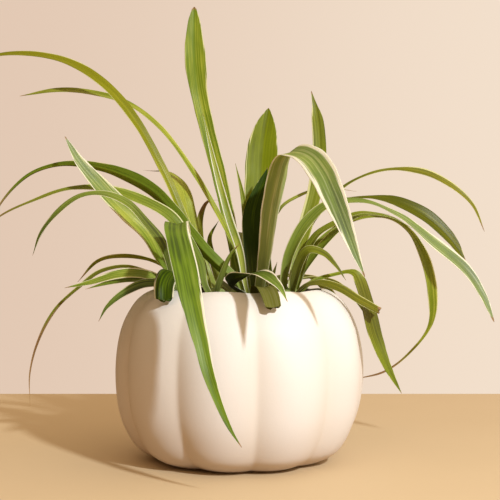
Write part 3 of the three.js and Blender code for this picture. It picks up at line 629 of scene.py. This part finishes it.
LEAVES = dict(
    # left tuft
    # The bright tone on its lower half is painted light, and the white margins and pale streaks
    # towards the tip are partly a painted sheen.
    pointing_up_left=dict(width=12, heading=180, roll=[-30, -60, -65],
        widths={0: 0.42, 0.25: 0.85, 0.45: 1, 0.66: 0.92, 0.85: 0.56, 0.95: 0.24},
        margin=[0.1, 0.1, 0.2, 0.24, 0.2], tone=[0.1, 0.6, 0.85, 0.5, 0.5], olive=[0, 0.1, 0],
        white=[0.2, 0.4, 1], stripes=[0.1, 0.3, 0.9],
        route=[(-35, -8, 98), (-39.5, -9, 109), (-47, -12, 120.5), (-55, -14, 135.5),
        (-65, -15, 146), (-75, -17, 156), (-86, -19, 168), (-95, -20, 179), (-103, -21, 193)]),
    arch_front_left=dict(width=9, heading=180, roll=[-35, -35, -30],
        widths={0: 0.45, 0.3: 0.9, 0.5: 0.75, 0.62: 0.6, 0.8: 0.78, 0.9: 0.58},
        margin=[0.08, 0.08, 0.14, 0.2], tone=[0.1, 0.25, 0.45, 0.4], olive=[0.2, 0.3, 0],
        white=[0.3, 0.9],
        route=[(-37, -12, 97), (-40, -19, 107), (-42, -25, 119), (-46, -29, 131), (-54, -31, 141.5),
        (-65, -32, 153), (-79, -33, 158.6), (-92, -33, 157), (-104, -34, 148.4),
        (-114.3, -35, 135.5), (-119, -36, 122.8)]),
    hanging_over_front=dict(width=13.5, heading=-82,
        widths={0: 0.42, 0.2: 0.85, 0.35: 1, 0.56: 1, 0.68: 0.7, 0.86: 0.36, 0.95: 0.16},
        margin=[0.08, 0.1, 0.12, 0.1, 0.1], tone=[0.4, 0.4, 0.42, 0.45], olive=0, white=0.9,
        stripes=0.08, shift=0.08,
        route=[(-33, -11, 98), (-32, -15, 108), (-33, -20, 121), (-34, -30, 134), (-35, -46, 141),
        (-34, -66, 136), (-30, -82, 123), (-26, -93, 108), (-22.5, -100, 94), (-18.3, -106, 78),
        (-15, -110, 65), (-9.3, -113, 49), (-3.7, -115, 37), (2, -116, 28)]),
    clipped_over_rim=dict(width=13, heading=-95, broadest=0.6, clipped=True, margin=0.14, tone=0.1,
        olive=0, white=0.7, stripes=0, dry=0,
        route=[(-30, -15, 98), (-30, -26, 108), (-35, -33, 113), (-39, -39, 113), (-42, -46, 107),
        (-42, -50, 98)]),
    low_left_back=dict(width=7, roll=25, margin=0.16, tone=0.6, olive=0.7, dry=0.2,
        route=[(-35, -5, 98), (-39, 2, 108), (-46, 6, 115), (-57, 9, 120), (-74, 13, 122),
        (-89, 15, 119), (-102, 17, 106)]),
    trailing_left=dict(width=5, roll=25, broadest=0.25, tone=0.6, olive=0.6, dry=0.8,
        route=[(-39, -9, 97), (-45, -8, 104), (-50, -7, 109), (-58, -6, 113), (-70, -7, 116),
        (-84, -9, 113), (-96, -10, 104), (-110, -12, 91), (-120, -14, 72), (-125, -15, 53),
        (-125, -15, 33)]),
    low_left_light=dict(width=10, roll=-35, margin=0.2, tone=0.6, olive=0.1, white=0.6, dry=0.1,
        route=[(-38, -11, 96), (-44, -16, 104), (-50, -19, 109), (-57, -21, 111.5),
        (-71, -23, 111.5), (-87, -26, 107), (-102, -28, 104)]),
    low_left_dark=dict(width=8, roll=-35, tone=[0.3, 0.3, 0.5], olive=0.1, dry=0.1,
        route=[(-38, -5, 97), (-45, 1, 104), (-52, 3, 107), (-65, 4, 108), (-80, 4, 106),
        (-95, 3, 102)]),
    low_left_curl=dict(width=7.5, roll=-40, margin=0.12, tone=0.2, olive=0, white=0.6, dry=0.05,
        route=[(-33, -14, 96), (-37, -26, 103.6), (-45, -33, 106.6), (-56, -35, 106),
        (-67, -36, 101), (-76, -36, 93.5), (-81, -36, 85)]),
    # inner left tuft
    high_arch_left=dict(width=7, heading=180, roll=[-45, -60, -60, -50, -40], widths={0: 0.55,
        0.2: 0.76, 0.4: 0.84, 0.5: 0.95, 0.6: 1, 0.76: 0.78, 0.88: 0.52, 0.96: 0.28}, margin=0.08,
        tone=[0.8, 0.75, 0.6, 0.45, 0.4], olive=[0.4, 0.7, 0.9, 0.9], dry=0.04, stripes=0,
        route=[(-18, 7, 99), (-22, 7, 112), (-26, 8, 127), (-34, 9, 144), (-46.6, 12, 173),
        (-64, 16, 204.6), (-83, 20, 228), (-109, 25, 245.4), (-141, 29, 251.6), (-166, 32, 248.6),
        (-184, 34, 239)]),
    # Its bright yellow-green tone is partly painted light, the glow of a leaf lit from behind.
    wide_arch_back=dict(width=12.5,
        widths={0: 0.42, 0.25: 0.85, 0.42: 1, 0.62: 0.85, 0.76: 0.4, 0.9: 0.18}, margin=0.05,
        tone=[0.6, 0.9, 0.9, 0.8], dry=0.2, stripes=0.3,
        route=[(-16, 11, 99), (-21, 17, 110), (-26, 19, 123), (-31.5, 22, 141), (-37, 27, 164),
        (-44, 38, 174), (-51, 50, 178), (-58, 60, 179), (-66, 66, 180)]),
    arch_left_lower=dict(width=10, heading=180, roll=[-44, -40, -28],
        widths={0: 0.42, 0.3: 1, 0.48: 0.9, 0.6: 0.5, 0.8: 0.34, 0.95: 0.2},
        margin=[0.1, 0.14, 0.1], tone=[0.45, 0.5, 0.5], olive=[0.1, 0.3, 0.9], white=0.4, dry=0.3,
        route=[(-18, 1, 97), (-22, -4, 105), (-25, -5, 119), (-33, -6, 133.5), (-43, -6, 147),
        (-62, -6, 157), (-81, -7, 163), (-102, -9, 163), (-124, -12, 155.5), (-143, -15, 146),
        (-155, -18, 134)]),
    short_dry_tip=dict(width=7, heading=90, tone=0.4, olive=0.8, dry=0.35,
        route=[(-17, 12, 97), (-21, 25, 108), (-26, 34, 127), (-26, 36, 147), (-21, 37, 157.5),
        (-14, 38, 158.5)]),
    young_back=dict(width=5, heading=90, tone=0.5, olive=0.5,
        route=[(-12, 12, 98), (-14, 20, 108), (-18, 26, 122), (-19.5, 27, 134), (-14, 27, 144.5)]),
    young_front=dict(width=4.5, heading=-60, tone=0.4, olive=0.4, dry=0.2,
        route=[(-14, 1, 97), (-13, -4, 104), (-10, -9, 113), (-5, -12, 124), (0, -13, 130)]),
    # middle tuft
    arch_left_upper=dict(width=10.5, heading=180, roll=[75, 62, 35, 28], widths={0: 0.5, 0.08: 0.7,
        0.2: 0.82, 0.4: 0.9, 0.5: 0.95, 0.65: 0.5, 0.78: 0.28, 0.92: 0.16}, margin=[0.06, 0.1, 0.1],
        tone=[0.45, 0.45, 0.5, 0.5], olive=0.05, dry=0.3, stripes=0,
        route=[(2, 0, 98), (-3, -2, 107), (-11, -2, 115), (-20.4, -1, 124), (-32, 0, 138),
        (-41, 1, 149.5), (-53, 1, 162), (-68, 0, 170.5), (-88, -1, 177), (-109, -3, 178),
        (-127, -5, 172), (-142, -8, 157), (-152, -11, 138)]),
    thin_arch_left=dict(width=5.6, heading=180, roll=[-40, -60, -50, -45, -45],
        widths={0: 0.5, 0.3: 0.7, 0.55: 0.65, 0.7: 0.85, 0.84: 1, 0.94: 0.6},
        tone=[0.8, 0.85, 0.7, 0.6], olive=[0.2, 0.3, 0.6], dry=0.04,
        route=[(3, 2, 99), (1, 4, 112), (-2.6, 7, 126), (-13, 13, 147), (-28, 19, 173),
        (-51, 27, 204), (-72, 32, 220), (-93, 36, 227), (-118, 41, 230), (-145, 46, 227)]),
    tall_upright=dict(width=13.5, heading=90, widths={0: 0.4, 0.25: 0.6, 0.5: 0.66, 0.63: 0.72,
        0.72: 0.78, 0.77: 0.98, 0.83: 1, 0.87: 0.9, 0.92: 0.7, 0.96: 0.52, 0.985: 0.36},
        margin=[0.1, 0.08], tone=[0.7, 0.66, 0.64, 0.62], olive=0.12, dry=0.02, shift=-0.06,
        stripes=0.15,
        route=[(4, 7, 99), (0, 12, 110), (-6, 16, 140), (-13, 17, 172), (-20.8, 17, 202),
        (-26, 18, 226), (-28.6, 18, 252), (-29, 19, 279)]),
    # Its broad white margins are partly a painted highlight, the glossy streak down this leaf.
    narrow_upright=dict(width=5, heading=90, margin=0.34, tone=0.8, olive=0.2, white=0.9,
        route=[(5, -1, 98), (3, -4, 107), (0, -4, 125), (-7, -2, 147), (-15, 3, 176),
        (-23, 7, 210)]),
    broad_upright=dict(width=21, heading=90, widths={0: 0.28, 0.3: 0.66, 0.55: 0.98, 0.66: 1,
        0.76: 0.95, 0.85: 0.8, 0.92: 0.55, 0.97: 0.26}, margin=0.06, tone=0.46, olive=0.45,
        dry=0.01, shift=0.03, stripes=0,
        route=[(9, 8, 98), (9, 14, 110), (11, 20, 139), (13, 25, 166), (14, 28, 190),
        (18, 31, 217)]),
    slim_upright=dict(width=5, heading=90, margin=0.12, tone=0.6, olive=0.4,
        route=[(6, 4, 99), (5, 6, 110), (4.5, 9, 132), (2, 12, 157), (-3, 14, 180)]),
    # Its tone, below deep green, is painted shade.
    dark_upright=dict(width=13, heading=90, broadest=0.5, margin=0.02, tone=-0.05, olive=0,
        stripes=0,
        route=[(10, 2, 98), (10, 0, 108), (8, 2, 132), (8, 5, 149), (17, 8, 177)]),
    # Painted light: the brighter tone on the rise, and the white margins and strong pale streaks on
    # the way down, stand in for the lamp's light and sheen.
    great_arch=dict(width=17, heading=-58, roll=[0, 0, 0, 5, 30, 45, 46, 36, 24], widths={0: 0.4,
        0.2: 0.66, 0.36: 0.9, 0.44: 0.84, 0.53: 0.8, 0.64: 0.94, 0.76: 0.78, 0.9: 0.38, 0.96: 0.18},
        margin=[0.08, 0.12, 0.14, 0.26, 0.3, 0.3], tone=[0.6, 0.66, 0.66, 0.42, 0.42], olive=0,
        white=[0.9, 0.9, 0.9, 1, 1], stripes=[0.7, 0.7, 0.4, 0.5, 0.6],
        route=[(12, -3, 98), (15.5, -9, 119), (18.5, -14, 147), (22.6, -19, 168), (25, -23, 177.5),
        (28, -29, 182.3), (33.4, -39, 182), (40.2, -51, 177.5), (46.3, -61, 168),
        (51.4, -71, 154.5), (56, -79, 141), (61, -85, 126), (66, -90, 112)]),
    young_middle=dict(width=4, heading=-60, margin=0.2, tone=0.4, white=0.6,
        route=[(12.5, -2, 96), (18, -12, 103), (20, -18, 112), (22, -23, 119)]),
    clipped_at_front=dict(width=11.5, heading=-75, broadest=0.6, clipped=True, margin=0, tone=-0.1,
        olive=1, stripes=0.15, white=0.9, dry=0,
        route=[(9, -4, 97), (10, -16, 100), (12, -32, 103.5), (13, -45, 105), (15, -54, 104.5),
        (17, -61, 100.5), (18.7, -66.5, 94.5)]),
    # The tone below deep green near its base is painted shade.
    over_front_rim=dict(width=9.5, heading=-66, roll=[-40, -40, -40, -30, -2, 12, 18, 14, 10],
        broadest=0.6, margin=[0.05, 0.1, 0.24, 0.26], tone=[-0.1, -0.1, 0.3, 0.5], olive=0, white=1,
        stripes=[0, 0, 0.3],
        route=[(4, -3, 98), (-2, -11, 102), (-6, -23, 106), (-3, -40, 110), (5, -58, 113),
        (13, -75, 113), (18, -90, 110), (22, -100, 106), (25, -107, 100)]),
    # right tuft
    upright_right=dict(width=9, heading=90,
        widths={0: 0.42, 0.35: 1, 0.6: 1, 0.8: 0.92, 0.88: 0.8, 0.93: 0.3, 0.97: 0.2}, margin=0.14,
        tone=[0.7, 0.6, 0.4, 0.3], olive=0.5, shift=0.12,
        route=[(31, 4, 99), (33, 9, 111), (37, 14, 127), (42, 18, 145), (47, 21, 164),
        (50, 23, 186), (49.5, 24, 202), (48, 24, 213), (45, 25, 227)]),
    # The white margins and pale streaks towards its tip are partly a painted sheen.
    long_arch_right=dict(width=9.5, heading=0, roll=[50, 60, 35, 55, 70], widths={0: 0.45,
        0.1: 0.72, 0.2: 0.9, 0.3: 0.76, 0.42: 0.45, 0.54: 0.45, 0.62: 0.75, 0.7: 1, 0.78: 0.95,
        0.88: 0.68, 0.96: 0.4}, margin=[0.12, 0.1, 0.14, 0.2, 0.2],
        tone=[0.4, 0.45, 0.5, 0.45, 0.4], olive=[0.3, 0.2, 0, 0], white=[0.2, 0.4, 0.9, 1],
        stripes=[0.2, 0.3, 0.7, 0.7],
        route=[(28, 0, 98), (27.5, 1, 108), (31.5, 4, 125), (41, 8, 142.5), (55, 10, 154.5),
        (78, 10, 156), (98.5, 6, 147), (120, 0, 129), (136.5, -5, 114.5), (146, -9, 99),
        (152, -13, 83)]),
    arch_right_back=dict(width=10, heading=0, roll=[35, 20, 10], tone=0.5,
        route=[(33, 4, 97), (37, 9, 108), (46, 14, 122), (62, 20, 139), (77, 24, 148),
        (95, 27, 147), (112, 29, 139)]),
    # The brighter tone in its middle is painted light.
    hanging_loop_right=dict(width=8.2, heading=0, roll=[50, 45, 60, 80, 80], widths={0: 0.5,
        0.15: 0.8, 0.3: 0.45, 0.44: 0.36, 0.49: 0.68, 0.55: 0.97, 0.62: 1, 0.68: 0.82, 0.72: 0.46,
        0.76: 0.22, 0.95: 0.16}, margin=[0.1, 0.1, 0.08, 0.14, 0.4],
        tone=[0.5, 0.5, 0.62, 0.6, 0.6], olive=[0.5, 0.5, 0.35, 0.45], white=0.5, stripes=0.1,
        dry=0.25,
        route=[(33, 5, 96), (37.5, 14, 108), (48.5, 24, 128.5), (71, 34, 145), (95, 40, 147.5),
        (109.5, 43, 139), (120, 45, 121.5), (125.5, 47, 100), (125, 50, 77), (112, 54, 58),
        (96, 58, 45), (76, 63, 39)]),
    thin_arch_right=dict(width=6.4, heading=0, roll=[20, 40, 50, 55], widths={0: 0.5, 0.3: 0.55,
        0.5: 0.36, 0.62: 0.4, 0.68: 0.85, 0.75: 1, 0.82: 0.8, 0.9: 0.52, 0.96: 0.3},
        margin=[0.14, 0.14, 0.2, 0.2], tone=[0.6, 0.5, 0.3, 0.15, 0.3], olive=[0.2, 0.3, 1, 1],
        dry=0.06, stripes=0.1,
        route=[(30, 6, 97), (33, 16, 110), (43, 28, 137), (55, 38, 156), (73, 45, 171),
        (94, 48, 178.6), (117, 48, 178), (135, 46, 170.3), (151, 43, 156), (158.5, 40, 138)]),
    slim_arch_right=dict(width=5, heading=0, roll=30, margin=0.14, tone=0.6, white=0.5, dry=0.1,
        route=[(25, 3, 99), (20, 11, 110), (19, 22, 135), (26, 28, 153), (38, 32, 161),
        (54, 35, 166), (75, 37, 164)]),
    dark_arch_right=dict(width=10.5, heading=0, roll=[50, 40, 30, 60, 66], widths={0: 0.4,
        0.15: 0.6, 0.3: 0.5, 0.45: 0.26, 0.56: 0.34, 0.66: 0.84, 0.8: 1, 0.91: 0.74, 0.97: 0.35},
        margin=0.05, tone=[0.5, 0.3, -0.05, -0.05], olive=[0.3, 0.6, 0.8], stripes=0,
        route=[(29, 5, 98), (28, 12, 108), (34, 19, 126), (45, 24, 143), (57, 28, 155),
        (76, 29, 159.5), (95, 27, 158), (117, 24, 148), (132, 22, 134), (142, 20, 119)]),
    low_arch_right=dict(width=7, heading=0, roll=[40, 30], tone=0.4, olive=0.5,
        route=[(34, 1, 98), (37, 0, 109), (40, 2, 122), (47, 4, 135), (59, 5, 143), (74, 6, 149),
        (92, 6, 148)]),
    short_arch_right=dict(width=7, heading=0, roll=50, tone=0.25, olive=0.6, stripes=0.1,
        route=[(32, -2, 98), (33, -8, 108), (36, -12, 119), (41, -14, 126), (50, -15, 124),
        (57, -17, 117), (63, -19, 108)]),
    kinked_right=dict(width=11, heading=0, roll=[40, 50, 70], widths={0: 0.4, 0.15: 0.3, 0.3: 0.26,
        0.34: 0.34, 0.38: 0.88, 0.5: 1, 0.62: 1, 0.74: 0.8, 0.86: 0.46, 0.94: 0.22}, margin=0.06,
        tone=[0.7, 0.7, -0.1, 0.4, 0.45], olive=[0, 0.3, 1, 0.5, 0.3], stripes=0.1,
        route=[(34, -2, 96), (41, -6, 104.5), (49, -8, 109), (58, -9, 111.5), (65, -10, 113),
        (69, -11, 112), (71, -12, 108.5), (75.6, -13, 94), (80.4, -15, 75), (87.4, -17, 57),
        (96, -18, 41)]),
    clipped_right=dict(width=8.6, heading=-20, roll=25, broadest=0.7, clipped=True, margin=0.08,
        tone=0, olive=1, stripes=0.05,
        route=[(32, -4, 95), (35, -12, 100.5), (40, -18, 105), (48, -21, 106.5), (59, -22, 103),
        (70, -22, 96.5), (82, -21, 90)]),
    # back tuft
    back_behind_tall=dict(width=8, heading=90, broadest=0.6, margin=0.12, tone=0.43,
        route=[(-1, 25, 98), (-1, 28, 110), (-6, 32, 140), (-14, 38, 172), (-20, 46, 198),
        (-24, 56, 216)]),
    back_arch_high=dict(width=13, margin=0.12, tone=0.59,
        route=[(2, 27, 98), (6, 33, 112), (11, 42, 140), (15, 54, 172), (18, 74, 190),
        (20, 98, 186), (20, 115, 168), (19, 126, 144)]),
    back_arch_right=dict(width=12, roll=5, margin=0.12, tone=0.35,
        route=[(3, 29, 97), (8, 40, 112), (11, 56, 136), (14, 80, 150), (16, 108, 147),
        (17, 134, 124), (20, 150, 94)]),
    back_arch_left=dict(width=11, roll=-5, margin=0.12, tone=0.59,
        route=[(-2, 30, 98), (-3, 41, 111), (-1, 58, 130), (3, 82, 138), (6, 110, 127),
        (3, 132, 100), (-3, 144, 72)]),
    back_droop_left=dict(width=11, margin=0.12, tone=0.35,
        route=[(-4, 30, 96), (-14, 43, 104), (-28, 57, 108), (-46, 76, 105), (-60, 92, 88),
        (-70, 102, 64), (-74, 106, 42)]),
    back_droop_middle=dict(width=12, margin=0.12, tone=0.51,
        route=[(2, 32, 96), (3, 45, 105), (5, 62, 110), (5, 84, 104), (4, 100, 84), (2, 108, 56),
        (0, 110, 34)]),
    back_droop_right=dict(width=11, margin=0.12, tone=0.43,
        route=[(6, 30, 97), (19, 41, 104), (33, 55, 109), (50, 72, 106), (66, 90, 89),
        (78, 104, 64), (84, 112, 40)]),
    back_low_left=dict(width=9, margin=0.12, tone=0.51,
        route=[(-7, 25, 96), (-15, 28, 101), (-27, 34, 104), (-40, 41, 104), (-52, 49, 99),
        (-60, 56, 89), (-64, 61, 76)]),
    back_low_right=dict(width=9, margin=0.12, tone=0.59,
        route=[(7, 23, 97), (24, 29, 103), (43, 40, 108), (60, 49, 106), (76, 58, 93),
        (88, 64, 76)]),
)


def smooth_route(route):
    """Points and directions every fraction of a millimetre along the centripetal Catmull-Rom
    curve through the route: the slope at each point is weighed by the square roots of the
    distances to its neighbours, and past each end the route goes on straight."""
    given = np.array(route, float)
    given = np.vstack([2 * given[0] - given[1], given, 2 * given[-1] - given[-2]])
    stretch = np.arange(len(route) - 1)
    p0, p1, p2, p3 = (given[stretch + j][:, None] for j in range(4))
    d0, d1, d2 = (np.sqrt(np.linalg.norm(b - a, axis=-1, keepdims=True))
                  for a, b in ((p0, p1), (p1, p2), (p2, p3)))
    leave = ((p1 - p0) / d0 - (p2 - p0) / (d0 + d1) + (p2 - p1) / d1) * d1
    arrive = ((p2 - p1) / d1 - (p3 - p1) / (d1 + d2) + (p3 - p2) / d2) * d1
    w = np.linspace(0, 1, 60, endpoint=False)[None, :, None]
    square, cube = 3 * (p2 - p1) - 2 * leave - arrive, 2 * (p1 - p2) + leave + arrive
    points = (p1 + leave * w + square * w ** 2 + cube * w ** 3).reshape(-1, 3)
    slopes = (leave + 2 * square * w + 3 * cube * w ** 2).reshape(-1, 3)
    return np.vstack([points, given[-2]]), np.vstack([slopes, arrive[-1, 0]])


def along_leaf(values, share):
    """One value, or a list of them at even places from the base to the tip."""
    values = np.atleast_1d(values)
    return np.interp(share, np.linspace(0, 1, len(values)), values)


def half_widths(leaf, share):
    """Half the blade's width at shares of its length: a quarter of a sine wave up to the
    broadest place, then a curve that falls faster and faster to the tip. widths gives parts
    at some shares instead, and a running mean rounds their corners."""
    broadest = leaf.get("broadest", LEAF_BROADEST)
    rise = LEAF_BASE + (1 - LEAF_BASE) * np.sin(0.5 * np.pi * np.minimum(share / broadest, 1))
    out = np.maximum((share - broadest) / (1 - broadest), 0)
    fall = 1 - (CLIPPED_LOSS if leaf.get("clipped") else 1) * out ** POINT_CURVE
    part = np.where(share < broadest, rise, fall)
    if "widths" in leaf:
        pairs = np.array([*leaf["widths"].items(), (1, 0)])
        ease = np.linspace(-0.03, 0.03, 13)[:, None]
        part = np.interp(np.minimum(share + ease, 1), pairs[:, 0], pairs[:, 1]).mean(0)
        part = np.minimum(part, np.sqrt(np.maximum(1 - share, 0) / 0.05))
    return np.maximum(leaf["width"] * part, LEAF_TIP) / 2


def leaf_mesh(name, leaf, number):
    """A closed strap. A ring goes across the upper face from one edge to the other and back
    across the lower face. The upper face rises from the midrib to both edges in a rounded V,
    with fine pleats and a ripple that grows towards the edges; the lower face lies under it
    by the blade's thickness, which is least at the edges, and has a keel along the midrib."""
    points, slopes = smooth_route(leaf["route"])
    run = np.concatenate([[0], np.cumsum(np.linalg.norm(np.diff(points, axis=0), axis=1))])
    rows = max(int(run[-1] / ROW_LENGTH), 40)
    share = np.linspace(0, 1, rows)
    at = share * run[-1]
    middle = np.stack([np.interp(at, run, points[:, k]) for k in range(3)], -1)
    along = np.stack([np.interp(at, run, slopes[:, k]) for k in range(3)], -1)
    along = along / np.linalg.norm(along, axis=1, keepdims=True)

    way = points[-1] - points[0]
    heading = leaf.get("heading", np.degrees(np.arctan2(way[1], way[0])))
    level = np.array([np.cos(np.radians(heading + 90)), np.sin(np.radians(heading + 90)), 0])
    flat = level - along * (along @ level)[:, None]
    flat = flat / np.linalg.norm(flat, axis=1, keepdims=True)
    roll = np.radians(along_leaf(leaf.get("roll", 0), share))[:, None]
    side = flat * np.cos(roll) + np.cross(along, flat) * np.sin(roll)
    up = np.cross(along, side)

    chance = np.random.default_rng(100 + number)
    column = np.linspace(-1, 1, 2 * HALF_COLUMNS + 1)
    across = np.concatenate([column, column[::-1]])[None]
    upper = np.repeat([1.0, 0.0], len(column))[None]
    half = half_widths(leaf, share)[:, None]
    uneven = 1 + 0.012 * np.sin(at[:, None] * chance.uniform(0.25, 0.45) + np.sign(across) * 2)
    narrow = np.minimum(half / 2, 1)

    fold = FOLD_AT_BASE + (FOLD_FURTHER_OUT - FOLD_AT_BASE) * smooth(0, FOLD_OPENS_BY, share)
    vee = (np.sqrt(across ** 2 + 0.02) - np.sqrt(0.02)) / (np.sqrt(1.02) - np.sqrt(0.02))
    wave = np.sin(2 * np.pi * at[:, None] / chance.uniform(26, 44) + np.sign(across)
                  * chance.uniform(0.5, 1.5) + number)
    wave = wave * across ** 2 * np.sin(np.pi * share)[:, None] * RIPPLE * narrow
    pleat = PLEAT * np.cos(2 * np.pi * PLEATS * across) * narrow * (1 - across ** 8)
    thick = BLADE_EDGE + (BLADE_MIDDLE - BLADE_EDGE) * (1 - across ** 2)
    thick = thick + KEEL * np.exp(-(across / 0.11) ** 2) * (1 - 0.6 * share[:, None])
    lift = half * fold[:, None] * vee + wave + pleat - LEAF_GAP
    lift = lift - (1 - upper) * thick * narrow
    tear = np.zeros_like(lift)
    if leaf.get("clipped"):
        tear = CLIPPED_TEAR * lattice_noise(across * 3 + number, 0 * across, 1, 17)
        tear = tear * smooth(0.9, 1, share)[:, None]
    rings = (middle[:, None] + side[:, None] * (half * uneven * across)[..., None]
             + up[:, None] * lift[..., None] + along[:, None] * tear[..., None])

    ones = np.ones_like(lift)
    dry = smooth(1 - leaf.get("dry", 0.03), 1, share)[:, None]
    sheath = 1 - smooth(0, 34, at)[:, None]
    blade = np.stack([half * across * MM, at[:, None] * MM * ones, number * 3.7 * ones], -1)
    part = np.stack([(across + leaf.get("shift", 0)) * ones, upper * ones, dry * ones], -1)
    look = np.stack([along_leaf(leaf.get(key, usual), share)[:, None] * ones for key, usual
                     in (("margin", 0.1), ("tone", 0.45), ("olive", 0.3))], -1)
    white, stripes = (along_leaf(leaf.get(key, 0.2), share)[:, None] * ones
                      for key in ("white", "stripes"))
    edge = np.stack([white, stripes, sheath * ones], -1)
    ends = [rings[0].mean(0), rings[-1].mean(0)]
    return closed_mesh(name, rings, ends, blade=blade, part=part, look=look, edge=edge)


# The tone runs from LEAF_DEEP through LEAF_GREEN to LEAF_BRIGHT, so on some leaves the deep end is
# painted shade and the bright end painted light.
LEAF_DEEP = paint(54, 76, 6)
LEAF_GREEN = paint(122, 152, 18)
LEAF_BRIGHT = paint(208, 216, 70)
LEAF_OLIVE = paint(160, 150, 26)
LEAF_UNDER = paint(150, 172, 76)
LEAF_EDGE = paint(220, 220, 136)
LEAF_WHITE = paint(255, 251, 234)
LEAF_DRY = paint(202, 168, 114)
LEAF_DRY_DARK = paint(126, 94, 56)
LIGHT_THROUGH = 0.36             # the share of the light that a blade lets through
SUN_THROUGH = paint(206, 214, 30)
SUN_THROUGH_CREAM = paint(255, 250, 216)

blade = Surface("variegated_blade", Specular_IOR_Level=0.2)
split = {}
for field, names in (("blade", "across along number"), ("part", "share upper dry"),
                     ("look", "margin tone olive"), ("edge", "white stripes sheath")):
    axes = blade.add("SeparateXYZ", blade.add("Attribute", attribute_name=field)["Vector"])
    split.update(zip(names.split(), axes))
streaks = blade.add("Group", node_tree=fibre.tree, Across=split["across"],
                    Along=split["along"], Number=split["number"])
bands = streaks["Bands"]

# The leaf's tone, varied by the streaks; on some leaves it holds painted shade or painted light.
tone = blade.reckon("ADD", split["tone"], blade.reckon("MULTIPLY_ADD", bands, 0.34, -0.17))
tone = blade.reckon("ADD", tone, blade.reckon("MULTIPLY_ADD", streaks["Wander"], 0.2, -0.1))
green = blade.blend(blade.ramp(tone, 0.0, 0.5), LEAF_DEEP, LEAF_GREEN)
green = blade.blend(blade.ramp(tone, 0.5, 1.0), green, LEAF_BRIGHT)
olive = blade.reckon("MULTIPLY", split["olive"], blade.ramp(tone, -0.2, 0.5, 0.45, 0.9))
green = blade.blend(olive, green, LEAF_OLIVE)
under = blade.reckon("MULTIPLY", blade.reckon("SUBTRACT", 1.0, split["upper"]),
                     blade.ramp(tone, 0.0, 0.5, 0.0, 0.32))
green = blade.blend(under, green, LEAF_UNDER)
green = blade.blend(blade.reckon("MULTIPLY", streaks["Lines"], 0.22), green, LEAF_DEEP)

# The margin starts where the way from the midrib passes 1 - margin, give or take the streaks,
# and thin pale streaks run inside it, which on some leaves are partly a painted sheen.
start = blade.reckon("ADD", blade.reckon("SUBTRACT", 1.03, split["margin"]),
                     blade.reckon("MULTIPLY_ADD", bands, -0.16, 0.08))
out_share = blade.reckon("ABSOLUTE", split["share"])
cream = blade.ramp(blade.reckon("SUBTRACT", out_share, start), -0.03, 0.05)
# Partly painted sheen: the pale streaks are made stronger on leaves that shine in the light.
stripe = blade.reckon("MULTIPLY", blade.ramp(bands, 0.5, 0.95, 0.4), split["stripes"])
pale = blade.blend(split["white"], LEAF_EDGE, LEAF_WHITE)
green = blade.blend(blade.reckon("MULTIPLY", stripe, 0.5), green, pale)
colour = blade.blend(cream, green, pale)
colour = blade.blend(blade.reckon("MULTIPLY", split["sheath"], 0.3), colour, SHEATH_PALE)
dry = blade.reckon("ADD", split["dry"], blade.reckon("MULTIPLY_ADD", bands, 0.5, -0.3))
dry = blade.ramp(dry, 0.25, 0.7)
brown = blade.blend(streaks["Lines"], LEAF_DRY, LEAF_DRY_DARK)
blade.dress("Base Color", blade.blend(dry, colour, brown))
blade.dress("Roughness", blade.reckon("MULTIPLY_ADD", split["upper"], -0.12, 0.44))
blade.roughen(streaks["Lines"], 0.00006, 0.6)

through = blade.blend(blade.ramp(tone, 0.0, 0.6, 0.0, 0.5), green, SUN_THROUGH)
through = blade.blend(cream, through, SUN_THROUGH_CREAM)
through = blade.blend(dry, through, LEAF_DRY)
leaf_light = blade.add("MixShader", LIGHT_THROUGH, blade.shader.outputs["BSDF"],
                       blade.add("BsdfTranslucent", Color=through)["BSDF"])["Shader"]
blade.feed(blade.tree.nodes["Material Output"].inputs["Surface"], leaf_light)

for number, (habit, leaf) in enumerate(LEAVES.items()):
    name = habit + "_leaf"
    show_piece(name, leaf_mesh(name, leaf, number), blade, "leaf", "leaf_" + habit)
